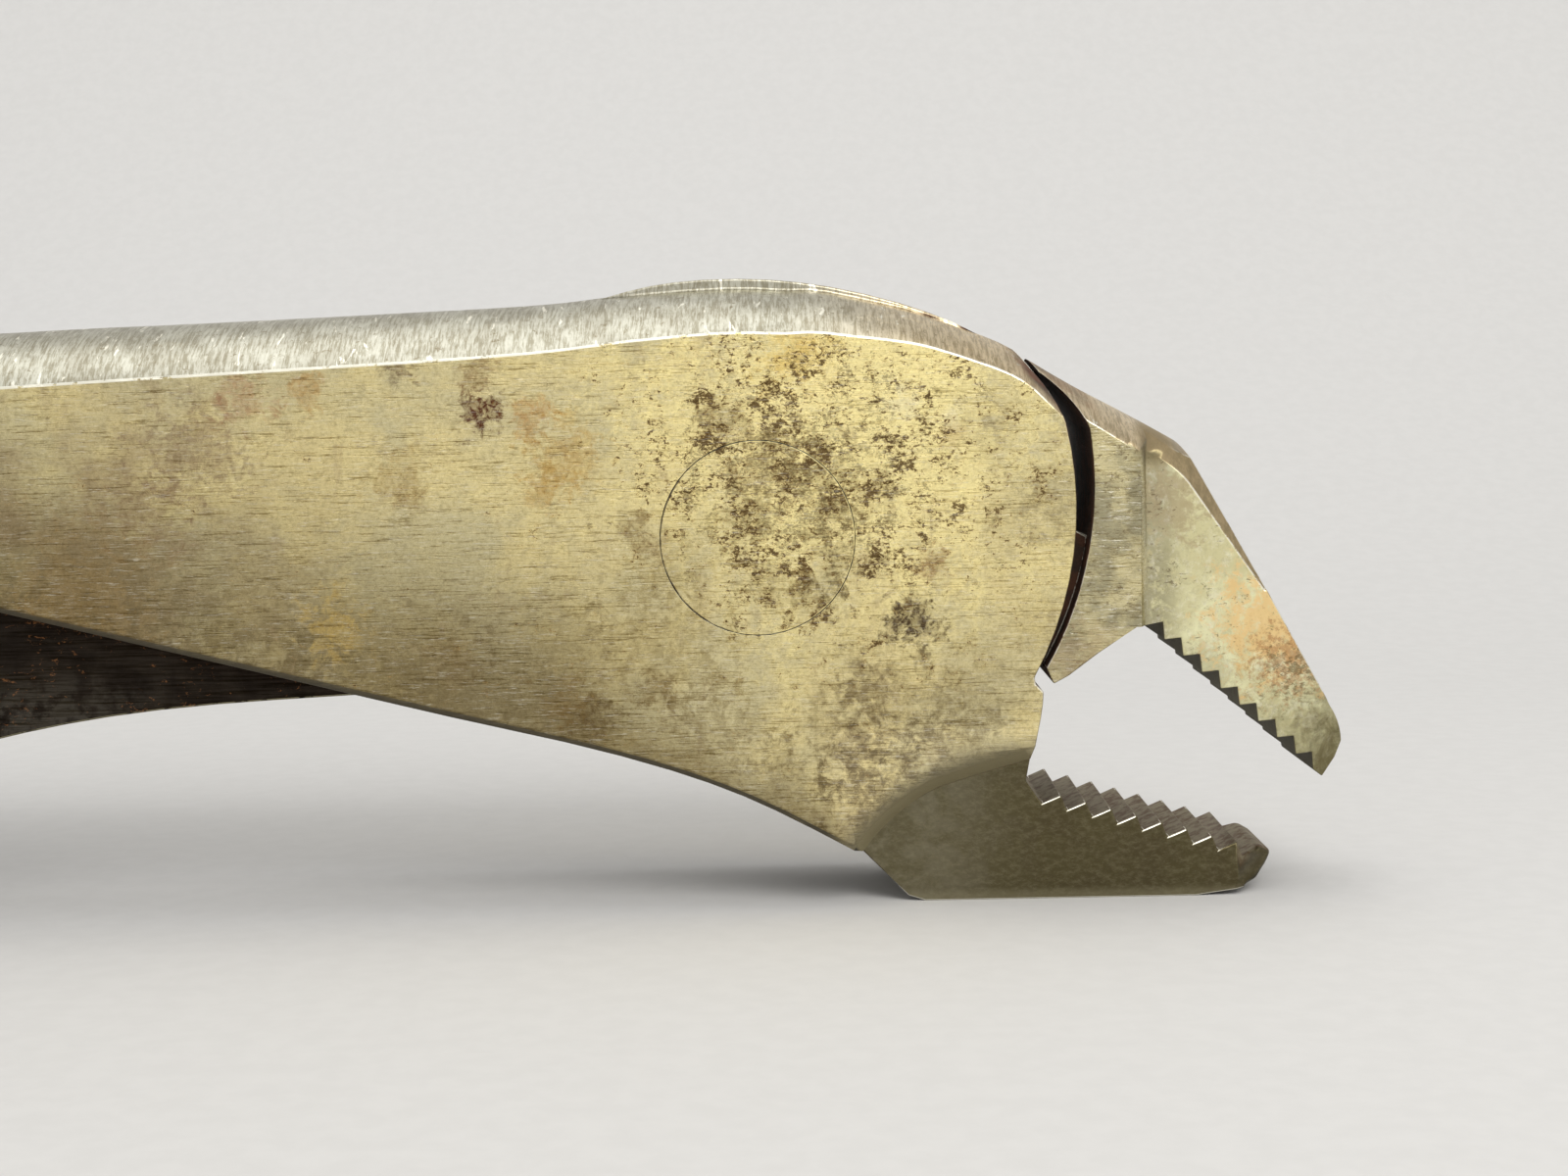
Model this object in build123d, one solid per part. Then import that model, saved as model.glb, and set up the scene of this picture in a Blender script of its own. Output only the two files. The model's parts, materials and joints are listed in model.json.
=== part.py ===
from build123d import *
import math
import os

# Locking pliers, 200 mm class, standing on the sole of the fixed jaw and the belly of the lower handle.
# Everything is first laid out round the jaw pivot: X runs towards the jaw tips, Y is the thickness and
# Z is up. The last step moves it so that the origin is under the middle of the tool, on its resting plane.
# Sizes are in millimetres, angles in degrees.

# ---- widths, across the tool ----
BODY_WIDTH = 15.0
BODY_WALL = 2.3
JAW_WIDTH = 11.0
HANDLE_WALL = 1.8
LINK_PLATE = 1.2
LEVER_CLEARANCE = 0.5
SIDE_CLEARANCE = 0.1
RUNNING_CLEARANCE = 0.05

# ---- body: crown stations along the tool (place, height of the crown, height of its side edge) ----
CROWN_STATIONS = [
    (-150.0, 10.2, 6.4),
    (-120.0, 11.4, 7.6),
    (-95.0, 12.45, 8.6),
    (-70.0, 13.5, 9.65),
    (-48.0, 14.4, 10.6),
    (-36.0, 14.7, 11.1),
    (-24.0, 15.05, 11.55),
    (-14.0, 15.4, 12.05),
    (-8.0, 15.95, 12.65),
    (-3.0, 16.2, 13.0),
    (2.0, 16.1, 13.0),
    (6.0, 15.6, 12.75),
    (10.0, 14.55, 12.15),
    (13.5, 13.35, 11.2),
    (16.0, 12.2, 10.1),
    (18.0, 11.05, 8.95),
    (20.0, 9.8, 7.7),
    (22.0, 8.65, 6.45),
    (24.0, 7.6, 5.2),
    (28.0, 5.3, 2.4),
    (32.0, 2.9, -0.2),
    (36.0, 0.4, -2.8),
]
CROWN_STEP = 3.0
SPINE_WALL = 2.8
CREST_WIDTH = 3.6
CREST_FROM = -10.5
CREST_RISES = [(-6.5, 0.4), (-2.5, 0.55), (2.0, 0.45), (7.0, 0.25), (12.0, 0.12)]
CREST_TO = 16.0
BODY_REAR = -146.0
SLOT_FRONT = 30.0
LOWER_EDGE_BREAK = 0.45
BEND_RAMP = (-0.56, 1.06)

# ---- jaws ----
SOLE_DROP = 24.1
LOWER_TOOTH_PITCH = 1.70
LOWER_TOOTH_ANGLE = -16.15
LOWER_TOOTH_DEPTH = 0.88
LOWER_TOOTH_LEAN = 0.633
UPPER_TOOTH_PITCH = 1.626
UPPER_TOOTH_ANGLE = -42.1
UPPER_TOOTH_DEPTH = 0.81
UPPER_TOOTH_LEAN = 0.55
TOOTH_COUNT = 9
STEP_X = 25.1
STEP_RAMP = 0.7
NOSE_CROWN_END = 30.5
NOSE_EDGE = [(23.0, 5.35), (24.9, 4.95), (26.6, 4.05), (28.1, 2.4), (32.6, -4.2)]
NOSE_EDGE_LEAN = (-1.1, -1.5)
NOSE_EDGE_DEPTH = 2.0

# ---- pivots (places round the jaw pivot) ----
PIVOT_HEAD_RADIUS = 6.2
PIVOT_CORE_RADIUS = 4.0
HUB_RADIUS = 7.0
HANDLE_PIN_AT = (-7.5, 8.5)
HANDLE_PIN_RADIUS = 2.3
EYE_RADIUS = 3.8
LINK_PIN_AT = (-25.0, 7.8)
LINK_PIN_RADIUS = 2.2
LINK_EYE_RADIUS = 3.6
SPACER_RADIUS = 2.9
LEVER_PIN_AT = (-86.0, -13.2)
LEVER_PIN_RADIUS = 1.8
SPRING_POST_AT = (-9.8, -0.2)
SPRING_POST_RADIUS = 1.1
SPRING_ANCHOR_AT = (-38.0, -5.0)
SPRING_ANCHOR_RADIUS = 1.2

# ---- adjusting screw ----
SCREW_TIP_AT = (-95.0, 4.2)
SCREW_SLOPE = 1.6
SCREW_RADIUS = 3.5
SCREW_TIP_RADIUS = 2.5
SCREW_TIP_LENGTH = 3.0
SHANK_RADIUS = 3.0
THREAD_PITCH = 1.5
THREAD_DEPTH = 0.7
TIP_GAP = 0.65
NUT_LENGTH = 13.0
NUT_DROP = 5.6
NUT_CORNER = 3.0
KNOB_GAP = 1.5
KNOB_RADIUS = 6.5
KNOB_LENGTH = 14.5
KNOB_TEETH = 40
KNURL_DEPTH = 0.45
RING_RADIUS = 4.6
RING_THICKNESS = 0.8
NUT_RIVET_RADIUS = 1.5
KNOB_PIN_RADIUS = 1.0

# ---- toggle link ----
LINK_HALF_HEIGHT = 2.5
LINK_NOSE_RADIUS = 2.0
LINK_REAR_DISTANCE = 5.5
LINK_RIVET_SPACING = 8.0
LINK_RIVET_RADIUS = 1.2

# ---- springs ----
WIRE_RADIUS = 0.4
RETURN_COIL_RADIUS = 2.2
RETURN_COIL_LENGTH = 16.0
LEAF_THICKNESS = 0.5
LEAF_FOOT_AT = (-100.0, -21.0)
LEAF_TOP = [(-104.0, -21.1), (-110.0, -20.9), (-118.0, -17.6), (-124.5, -14.75)]
LEAF_RIVET_AT = (-103.0, -22.0)
LEAF_RIVET_RADIUS = 1.3
LEAF_RIVET_LENGTH = 3.2

# ---- values that follow ----
HALF_BODY = BODY_WIDTH / 2
HALF_SLOT = HALF_BODY - BODY_WALL
HALF_TONGUE = HALF_SLOT - SIDE_CLEARANCE
HALF_JAW = JAW_WIDTH / 2
HALF_HANDLE = HALF_SLOT - SIDE_CLEARANCE
HALF_CHANNEL = HALF_HANDLE - HANDLE_WALL
HALF_EYE = HALF_CHANNEL - SIDE_CLEARANCE
HALF_LINK = HALF_CHANNEL - SIDE_CLEARANCE
HALF_LINK_GAP = HALF_LINK - LINK_PLATE
HALF_LEVER = HALF_CHANNEL - LEVER_CLEARANCE
FAR = 40.0
KNOB_REAR = BODY_REAR - KNOB_GAP - KNOB_LENGTH
SCREW_LENGTH = SCREW_TIP_AT[0] - KNOB_REAR


# ---- helpers ----
def polar(radius, angle):
    """A point at a radius and angle round the jaw pivot."""
    return radius * math.cos(math.radians(angle)), radius * math.sin(math.radians(angle))


def outline(start, *runs):
    """A closed face. A run of one point is a straight line, of two an arc, and of more a spline."""
    edges = []
    at = start
    for run in runs:
        if len(run) == 1:
            edges.append(Line(at, run[0]))
        elif len(run) == 2:
            edges.append(ThreePointArc(at, *run))
        else:
            edges.append(Spline(at, *run))
        at = run[-1]
    if math.dist(at, start) > 1e-6:
        edges.append(Line(at, start))
    return make_face(edges)


def slab(face, low, high):
    """A side-view face given thickness from y = low to y = high."""
    return Pos(0, (low + high) / 2, 0) * extrude(Plane.XZ * face, amount=(high - low) / 2, both=True)


def plate(face, half):
    return slab(face, -half, half)


def pin(at, radius, low, high):
    """A round bar across the tool."""
    return slab(Pos(*at) * Circle(radius), low, high)


def bore(at, radius):
    return pin(at, radius, -HALF_BODY - 1, HALF_BODY + 1)


def teeth(first_valley, angle, pitch, depth, lean, side):
    """Points of a row of teeth from its first valley. side is +1 for teeth above the line, -1 below."""
    along = polar(1.0, angle)
    out = (-side * along[1], side * along[0])
    points = []
    for i in range(TOOTH_COUNT):
        valley = (first_valley[0] + i * pitch * along[0], first_valley[1] + i * pitch * along[1])
        reach = lean * pitch
        peak = (
            valley[0] + reach * along[0] + depth * out[0],
            valley[1] + reach * along[1] + depth * out[1],
        )
        points += [valley, peak]
    return points


def screw_point(x):
    """A point on the axis of the adjusting screw."""
    drop = (x - SCREW_TIP_AT[0]) * math.tan(math.radians(SCREW_SLOPE))
    return x, SCREW_TIP_AT[1] + drop


def along_screw(x):
    """A location on the screw's axis whose Z axis points to the tool's rear."""
    at = screw_point(x)
    back = (-math.cos(math.radians(SCREW_SLOPE)), 0, -math.sin(math.radians(SCREW_SLOPE)))
    return Plane(origin=(at[0], 0, at[1]), x_dir=(0, 1, 0), z_dir=back).location


# ---- outlines shared by pieces that meet ----
def crown_at(x):
    """Height of the crown and of its side edge at a place, on a smooth curve through the stations."""
    places = [station[0] for station in CROWN_STATIONS]
    i = min(max(sum(place <= x for place in places) - 1, 1), len(places) - 3)
    share = (x - places[i]) / (places[i + 1] - places[i])
    heights = []
    for column in (1, 2):
        before, low, high, after = [CROWN_STATIONS[i + k][column] for k in (-1, 0, 1, 2)]
        span = places[i + 1] - places[i]
        slope_low = (high - before) / (places[i + 1] - places[i - 1]) * span
        slope_high = (after - low) / (places[i + 2] - places[i]) * span
        bend = 3 * (high - low) - 2 * slope_low - slope_high
        twist = 2 * (low - high) + slope_low + slope_high
        heights.append(low + share * (slope_low + share * (bend + share * twist)))
    return heights


def crown_envelope(first, last):
    """The solid under the rounded back that the body and the upper jaw share, between two places."""
    half = HALF_BODY + 1.0
    count = math.ceil((last - first) / CROWN_STEP)
    sections = []
    for i in range(count + 1):
        x = first + (last - first) * i / count
        crown, edge = crown_at(x)
        plane = Plane(origin=(x, 0, 0), x_dir=(0, 1, 0), z_dir=(1, 0, 0))
        drop = crown - edge
        radius = (HALF_BODY**2 + drop**2) / (2 * drop)
        skirt = crown - radius + math.sqrt(radius**2 - half**2)
        section = outline(
            (-half, -FAR),
            [(-half, skirt)],
            [(0, crown), (half, skirt)],
            [(half, -FAR)],
        )
        sections.append(plane * section)
    return loft(sections)


BODY_SLIT_FOOT = polar(19.85, -28)
BODY_SLIT = [
    [polar(20.3, 0), polar(20.9, 19)],
    [polar(20.87, 24), polar(20.65, 29)],
]
JAW_SLIT_FOOT = polar(20.28, -25.5)
JAW_SLIT = [
    [polar(21.2, -2), polar(22.2, 17)],
    [polar(21.75, 23.5), polar(21.0, 29)],
]
SHELL_END = (6.4, -20.75)
BODY_UNDERSIDE = [
    [(-80.0, 0.98)],
    [(-69.8, 0.62), (-60.0, -0.98)],
    [(-20.0, -11.2)],
    [(-12.0, -13.15), (-6.2, -14.85), (-1.2, -16.75), (2.6, -18.65), SHELL_END],
]
BEND_MIDDLE = (11.4, -16.6)
BEND_LOW = (8.5, -18.45)
BEND_HIGH = (14.3, -15.72)
FRONT_CORNER = (17.35, -14.9)
LOWER_TOOTH_START = (18.07, -17.84)
UPPER_TOOTH_START = (26.01, -6.07)
HANDLE_BELLY = [
    (-28.6, -9.95),
    (-37.2, -10.4),
    (-45.9, -11.45),
    (-58.0, -14.2),
    (-72.0, -17.8),
    (-90.0, -22.2),
    (-108.0, -SOLE_DROP + 0.1),
    (-130.0, -23.1),
    (-149.0, -20.4),
]
HANDLE_WEB_FRONT = (-20.5, -9.6)


def slot_face():
    """Side view of the hollow between the body's walls, open at the bottom, the front and the rear."""
    rear = BODY_REAR - 4
    step = 2 * CROWN_STEP
    count = math.ceil((SLOT_FRONT - rear) / step)
    places = [rear + i * step for i in range(count + 1)]
    top = [(x, crown_at(x)[0] - SPINE_WALL) for x in places]
    return outline((places[0], -FAR), [top[0]], top[1:], [(places[-1], -FAR)])


def ramp_down(solid, face, inner, outer, shift):
    """Cuts the region of a face off both sides, outside a slope that leans by shift between two depths."""
    reach = outer - inner + 1
    lean = reach / (outer - inner)
    for side in (-1, 1):
        run = Vector(shift[0] * lean, side * reach, shift[1] * lean)
        solid -= extrude(Plane.XZ.offset(-side * inner) * face, run.length, dir=run.normalized())
    return solid


# ---- body ----
def body_shell():
    """The upper handle: a folded channel whose head carries the fixed jaw."""
    side = outline(
        (BODY_REAR, FAR),
        [(BODY_REAR, -2.0)],
        *BODY_UNDERSIDE,
        [BEND_LOW, BEND_MIDDLE],
        [BEND_HIGH, FRONT_CORNER],
        [(17.6, -13.4), (18.05, -11.0), (18.1, -10.25)],
        [(17.6, -9.75)],
        [BODY_SLIT_FOOT],
        *BODY_SLIT,
        [(16.2, 12.9)],
        [(16.2, FAR)],
    )
    solid = plate(side, HALF_BODY)
    below_bend = outline(
        (4.6, -24.5),
        [SHELL_END],
        [BEND_LOW, BEND_MIDDLE],
        [BEND_HIGH, FRONT_CORNER],
        [(23.0, -13.9)],
        [(23.0, -24.5)],
    )
    solid = ramp_down(solid, below_bend, HALF_JAW, HALF_BODY, BEND_RAMP)
    below_edge = outline(
        (BODY_REAR - 1, -2.04),
        [(BODY_REAR, -2.0)],
        *BODY_UNDERSIDE,
        [(6.4, -24.5)],
        [(BODY_REAR - 1, -24.5)],
    )
    solid = ramp_down(
        solid, below_edge, HALF_BODY - LOWER_EDGE_BREAK, HALF_BODY, (0, LOWER_EDGE_BREAK)
    )
    solid &= crown_envelope(BODY_REAR - 1, BODY_SLIT[0][-1][0] + 1)
    solid += crest()
    solid -= plate(slot_face(), HALF_SLOT)
    solid -= bore((0, 0), PIVOT_HEAD_RADIUS + RUNNING_CLEARANCE)
    for x, z in nut_rivet_places():
        solid -= bore((x, z), NUT_RIVET_RADIUS)
    return solid


def crest():
    """The low ridge along the top of the hump."""
    sunk = -0.3
    top = [(x, crown_at(x)[0] + rise) for x, rise in (*CREST_RISES, (CREST_TO, sunk))]
    start = (CREST_FROM, crown_at(CREST_FROM)[0] + sunk)
    foot = (CREST_RISES[2][0], crown_at(CREST_TO)[0] - SPINE_WALL / 2)
    return plate(outline(start, top, [foot]), CREST_WIDTH / 2)


def fixed_jaw():
    """The lower jaw, with a tang that is welded between the walls of the body."""
    row = teeth(
        LOWER_TOOTH_START,
        LOWER_TOOTH_ANGLE,
        LOWER_TOOTH_PITCH,
        LOWER_TOOTH_DEPTH,
        LOWER_TOOTH_LEAN,
        1,
    )
    face = outline(
        SHELL_END,
        [(9.3, -23.75)],
        [(10.4, -SOLE_DROP)],
        [(28.0, -SOLE_DROP)],
        [(31.0, -SOLE_DROP + 0.4)],
        [(32.5, -22.87), (33.34, -21.57)],
        *[[point] for point in reversed(row)],
        [(17.07, -16.3)],
        [FRONT_CORNER],
        [BEND_HIGH, BEND_MIDDLE],
        [BEND_LOW, SHELL_END],
    )
    jaw = plate(face, HALF_JAW)
    for side in (-1, 1):
        corner = Polyline(
            (30.6, side * (HALF_JAW + 0.1)),
            (33.8, side * 3.2),
            (35.0, side * (HALF_JAW + 0.1)),
            close=True,
        )
        jaw -= Pos(0, 0, -FAR) * extrude(make_face(corner), amount=FAR - 15.0)
    tang = outline(
        (3.5, -7.5),
        [(17.3, -9.7)],
        [(17.6, -9.75)],
        [(18.1, -10.25)],
        [(18.05, -11.0), (17.6, -13.4), FRONT_CORNER],
        [(12.0, -18.5)],
        [(6.0, -19.9)],
        [(1.6, -17.3)],
        [(-1.5, -14.0)],
    )
    return jaw + plate(tang, HALF_SLOT)


def pivot_pin():
    """The jaw pivot: a flush head, a core and a spigot."""
    head = pin((0, 0), PIVOT_HEAD_RADIUS, -HALF_BODY, -HALF_SLOT)
    core = pin((0, 0), PIVOT_CORE_RADIUS, -HALF_SLOT, HALF_SLOT)
    spigot = pin((0, 0), PIVOT_CORE_RADIUS / 2, HALF_SLOT, HALF_BODY)
    return head + core + spigot


def pivot_pin_cap():
    """The far head of the pivot, riveted over the spigot."""
    disc = pin((0, 0), PIVOT_HEAD_RADIUS, HALF_SLOT, HALF_BODY)
    return disc - pin((0, 0), PIVOT_CORE_RADIUS / 2, HALF_SLOT, HALF_BODY)


def nut_rivet_places():
    """The two rivet places in each wall at the screw's nut."""
    return [(BODY_REAR + share * NUT_LENGTH, screw_point(BODY_REAR)[1]) for share in (0.25, 0.75)]


def screw_nut():
    """The threaded block that closes the rear of the body."""
    front = BODY_REAR + NUT_LENGTH
    low = screw_point(BODY_REAR)[1] - NUT_DROP
    face = outline(
        (BODY_REAR, low),
        [(front, low)],
        [(front, crown_at(front)[0] - SPINE_WALL - SIDE_CLEARANCE)],
        [(BODY_REAR, crown_at(BODY_REAR)[0] - SPINE_WALL - SIDE_CLEARANCE)],
    )
    block = plate(face, HALF_SLOT)
    corners = block.edges().filter_by(lambda e: abs(e.center().Z - low) < 1e-4)
    corners = corners.filter_by(lambda e: abs(e.center().Y) > 1)
    block = fillet(corners, NUT_CORNER)
    hole = along_screw(BODY_REAR + 2 * NUT_LENGTH) * Cylinder(
        SCREW_RADIUS + RUNNING_CLEARANCE, 6 * NUT_LENGTH
    )
    block -= hole
    return block - screw_nut_rivets()


def screw_nut_rivets():
    """Four flush stubs that hold the nut between the walls."""
    group = Part()
    for x, z in nut_rivet_places():
        for side in (-1, 1):
            ends = sorted((side * HALF_BODY, side * (SCREW_RADIUS + 1.0)))
            group += pin((x, z), NUT_RIVET_RADIUS, *ends)
    return group


# ---- upper jaw ----
def disc(at, radius):
    return Pos(*at) * Circle(radius)


def web(a, radius_a, b, radius_b):
    """A bar between two round ends."""
    heading = math.atan2(b[1] - a[1], b[0] - a[0])
    spread = math.acos((radius_a - radius_b) / math.dist(a, b))
    corners = []
    for at, radius, turn in ((a, radius_a, 1), (b, radius_b, 1), (b, radius_b, -1), (a, radius_a, -1)):
        angle = heading + turn * spread
        corners.append((at[0] + radius * math.cos(angle), at[1] + radius * math.sin(angle)))
    band = make_face(Polyline(*corners, close=True))
    return band + disc(a, radius_a) + disc(b, radius_b)


def upper_jaw():
    """The moving jaw: a full-width root, a narrower toothed nose and a tongue round the pivot."""
    root = plate(
        outline(
            JAW_SLIT_FOOT,
            *JAW_SLIT,
            [(16.9, 12.9)],
            [(STEP_X, 14.0)],
            [(STEP_X, -6.2)],
            [(24.1, -6.2)],
            [(21.6, -7.85)],
            [(19.7, -9.25)],
            [(18.75, -9.75)],
        ),
        HALF_BODY,
    )
    beyond_step = Pos(STEP_X + 10, 0) * Rectangle(20, 60)
    root = ramp_down(root, beyond_step, HALF_JAW, HALF_BODY, (-STEP_RAMP, 0))
    root &= crown_envelope(JAW_SLIT[1][-1][0] - 3, STEP_X + 3)
    row = teeth(
        UPPER_TOOTH_START,
        UPPER_TOOTH_ANGLE,
        UPPER_TOOTH_PITCH,
        UPPER_TOOTH_DEPTH,
        UPPER_TOOTH_LEAN,
        -1,
    )
    nose = plate(
        outline(
            (23.5, 13.1),
            [(36.87, -11.79)],
            [(37.6, -13.2), (37.81, -14.24)],
            [(37.36, -15.33)],
            [(36.47, -16.53)],
            *[[point] for point in reversed(row)],
            [(24.55, -6.36)],
            [(23.5, -6.2)],
        ),
        HALF_JAW,
    )
    beyond_crown = Pos(NOSE_CROWN_END + 10, 0, 0) * Box(20, 20, 60)
    nose = (nose & crown_envelope(20.0, NOSE_CROWN_END + 0.5)) + (nose & beyond_crown)
    nose = ramp_down(nose, beyond_nose_edge(), HALF_JAW - NOSE_EDGE_DEPTH, HALF_JAW, NOSE_EDGE_LEAN)
    for side in (-1, 1):
        nose -= tip_bevel(side)
    thick = outline(
        (21.6, -0.7),
        [(18.5, 1.1)],
        [(12.0, 4.8)],
        [(3.0, 6.3)],
        [(3.0, -6.3)],
        [(18.2, -8.6)],
        [(21.6, -7.9)],
    )
    thin = web((0, 0), HUB_RADIUS - 0.1, HANDLE_PIN_AT, EYE_RADIUS)
    thin += web((0, 0), HUB_RADIUS - 1.0, SPRING_POST_AT, 2 * SPRING_POST_RADIUS + 0.2)
    jaw = root + nose + plate(thick + Circle(HUB_RADIUS), HALF_TONGUE) + plate(thin, HALF_EYE)
    jaw -= bore((0, 0), PIVOT_CORE_RADIUS + RUNNING_CLEARANCE)
    jaw -= bore(HANDLE_PIN_AT, HANDLE_PIN_RADIUS + RUNNING_CLEARANCE)
    jaw -= bore(SPRING_POST_AT, SPRING_POST_RADIUS)
    hook_room = Pos(SPRING_POST_AT[0] - 2.4, SPRING_POST_AT[1] + 0.4) * Rectangle(9.0, 5.6)
    return jaw - plate(hook_room, 3 * WIRE_RADIUS)


def beyond_nose_edge():
    """The region behind the nose's side edges, at the depth where their slope runs out."""
    moved = [(x - NOSE_EDGE_LEAN[0], z - NOSE_EDGE_LEAN[1]) for x, z in NOSE_EDGE]
    return outline(
        moved[0],
        [moved[1]],
        moved[2:4],
        [moved[4]],
        [(44.0, moved[4][1])],
        [(44.0, 20.0)],
        [(moved[0][0], 20.0)],
    )


def tip_bevel(side):
    """A cutter that narrows the nose's tip."""
    a = Vector(36.4, side * HALF_JAW, -11.5)
    b = Vector(34.6, side * HALF_JAW, -17.5)
    c = Vector(38.4, side * (HALF_JAW - 1.5), -14.0)
    out = (b - a).cross(c - a)
    if out.Y * side < 0:
        out = -out
    return extrude(Plane(origin=a, x_dir=b - a, z_dir=out) * Rectangle(FAR, FAR), amount=10)


def spring_post():
    return pin(SPRING_POST_AT, SPRING_POST_RADIUS, -HALF_EYE, HALF_EYE)


# ---- lower handle ----
def lower_handle():
    """A folded channel, nested in the body, with ears for the handle pin and the link pin."""
    side = outline(
        HANDLE_WEB_FRONT,
        HANDLE_BELLY,
        [(-153.2, -14.6), (-149.0, -9.2)],
        [
            (-130.0, -11.6),
            (-108.0, -12.4),
            (-90.0, -10.4),
            (-72.0, -5.5),
            (-55.0, 0.9),
            (-38.0, 7.2),
            (-29.5, 10.5),
        ],
        [(-25.0, LINK_PIN_AT[1] + EYE_RADIUS), (-20.5, 11.2)],
        [(HANDLE_PIN_AT[0] - 1.0, HANDLE_PIN_AT[1] + EYE_RADIUS - 0.14)],
        [(-12.5, 4.5)],
    )
    side += disc(HANDLE_PIN_AT, EYE_RADIUS)
    solid = plate(side, HALF_HANDLE)
    floor = [(x, z + HANDLE_WALL) for x, z in HANDLE_BELLY]
    front = (HANDLE_WEB_FRONT[0], HANDLE_WEB_FRONT[1] + HANDLE_WALL)
    hollow = outline(
        (10.0, FAR),
        [(10.0, -FAR)],
        [(front[0] + 0.2, -FAR)],
        [front],
        floor[:-1] + [(floor[-1][0] + 1.0, floor[-1][1] - 0.1)],
        [(floor[-1][0] + 1.0, FAR)],
    )
    solid -= plate(hollow, HALF_CHANNEL)
    solid -= bore(HANDLE_PIN_AT, HANDLE_PIN_RADIUS)
    solid -= bore(LINK_PIN_AT, LINK_PIN_RADIUS)
    solid -= bore(LEVER_PIN_AT, LEVER_PIN_RADIUS)
    solid -= bore(SPRING_ANCHOR_AT, SPRING_ANCHOR_RADIUS)
    return solid - lever_spring_rivet()


def handle_pin():
    return pin(HANDLE_PIN_AT, HANDLE_PIN_RADIUS, -HALF_HANDLE, HALF_HANDLE)


def link_pin():
    return pin(LINK_PIN_AT, LINK_PIN_RADIUS, -HALF_HANDLE, HALF_HANDLE)


def release_lever_pin():
    return pin(LEVER_PIN_AT, LEVER_PIN_RADIUS, -HALF_HANDLE, HALF_HANDLE)


def spring_anchor_pin():
    return pin(SPRING_ANCHOR_AT, SPRING_ANCHOR_RADIUS, -HALF_HANDLE, HALF_HANDLE)


# ---- toggle link ----
def link_point(distance):
    """A point on the link's line, at a distance ahead of the screw's tip."""
    length = math.dist(SCREW_TIP_AT, LINK_PIN_AT)
    share = distance / length
    return (
        SCREW_TIP_AT[0] + share * (LINK_PIN_AT[0] - SCREW_TIP_AT[0]),
        SCREW_TIP_AT[1] + share * (LINK_PIN_AT[1] - SCREW_TIP_AT[1]),
    )


LINK_REAR = link_point(LINK_REAR_DISTANCE)
BLOCK_FRONT = link_point(LINK_REAR_DISTANCE + LINK_RIVET_SPACING)


def link_plate(side):
    face = web(LINK_PIN_AT, LINK_EYE_RADIUS, LINK_REAR, LINK_HALF_HEIGHT)
    face -= disc(LINK_PIN_AT, LINK_PIN_RADIUS + RUNNING_CLEARANCE)
    face -= disc(LINK_REAR, LINK_RIVET_RADIUS) + disc(BLOCK_FRONT, LINK_RIVET_RADIUS)
    ends = sorted((side * HALF_LINK_GAP, side * HALF_LINK))
    return slab(face, *ends)


def link_spacer():
    """A sleeve on the link pin that keeps the two plates apart."""
    face = disc(LINK_PIN_AT, SPACER_RADIUS) - disc(LINK_PIN_AT, LINK_PIN_RADIUS + RUNNING_CLEARANCE)
    return plate(face, HALF_LINK_GAP)


def thrust_block():
    """The hardened nose between the plates that bears on the adjusting screw."""
    nose = link_point(TIP_GAP + LINK_NOSE_RADIUS)
    face = web(BLOCK_FRONT, LINK_HALF_HEIGHT, nose, LINK_NOSE_RADIUS)
    face -= disc(LINK_REAR, LINK_RIVET_RADIUS) + disc(BLOCK_FRONT, LINK_RIVET_RADIUS)
    return plate(face, HALF_LINK_GAP)


def link_rivets():
    front = pin(BLOCK_FRONT, LINK_RIVET_RADIUS, -HALF_LINK, HALF_LINK)
    return front + pin(LINK_REAR, LINK_RIVET_RADIUS, -HALF_LINK, HALF_LINK)


# ---- release lever ----
def release_lever():
    """The lever in the lower handle: its nose lifts the link when its tail is pressed down."""
    nose_arm = web(LEVER_PIN_AT, 2 * LEVER_PIN_RADIUS, (-60.0, -1.6), LEVER_PIN_RADIUS)
    tail = outline(
        (-86.0, -9.8),
        [(-98.0, -11.3), (-115.0, -12.2), (-132.0, -10.9), (-145.0, -6.9)],
        [(-146.2, -8.6), (-144.2, -9.8)],
        [(-132.0, -13.4), (-115.0, -14.8), (-98.0, -14.9), (-86.0, -16.6)],
    )
    face = nose_arm + tail - disc(LEVER_PIN_AT, LEVER_PIN_RADIUS + RUNNING_CLEARANCE)
    return plate(face, HALF_LEVER)


def lever_spring():
    """A leaf that stands on the handle's web and holds the lever's tail up."""
    low = [(x, z - LEAF_THICKNESS) for x, z in (*reversed(LEAF_TOP), LEAF_FOOT_AT)]
    face = outline(LEAF_FOOT_AT, LEAF_TOP, [low[0]], low[1:])
    return plate(face, HALF_CHANNEL - 1.0) - lever_spring_rivet()


def lever_spring_rivet():
    """A flush rivet through the leaf and the handle's web."""
    x, z = LEAF_RIVET_AT
    return Pos(x, 0, z) * Cylinder(LEAF_RIVET_RADIUS, LEAF_RIVET_LENGTH)


# ---- adjusting screw ----
def turned(points):
    """A solid of revolution from (radius, place) points, about the Z axis."""
    profile = Polyline((0, points[0][1]), *points, (0, points[-1][1]), close=True)
    return revolve(Plane.XZ * make_face(profile), Axis.Z)


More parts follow.
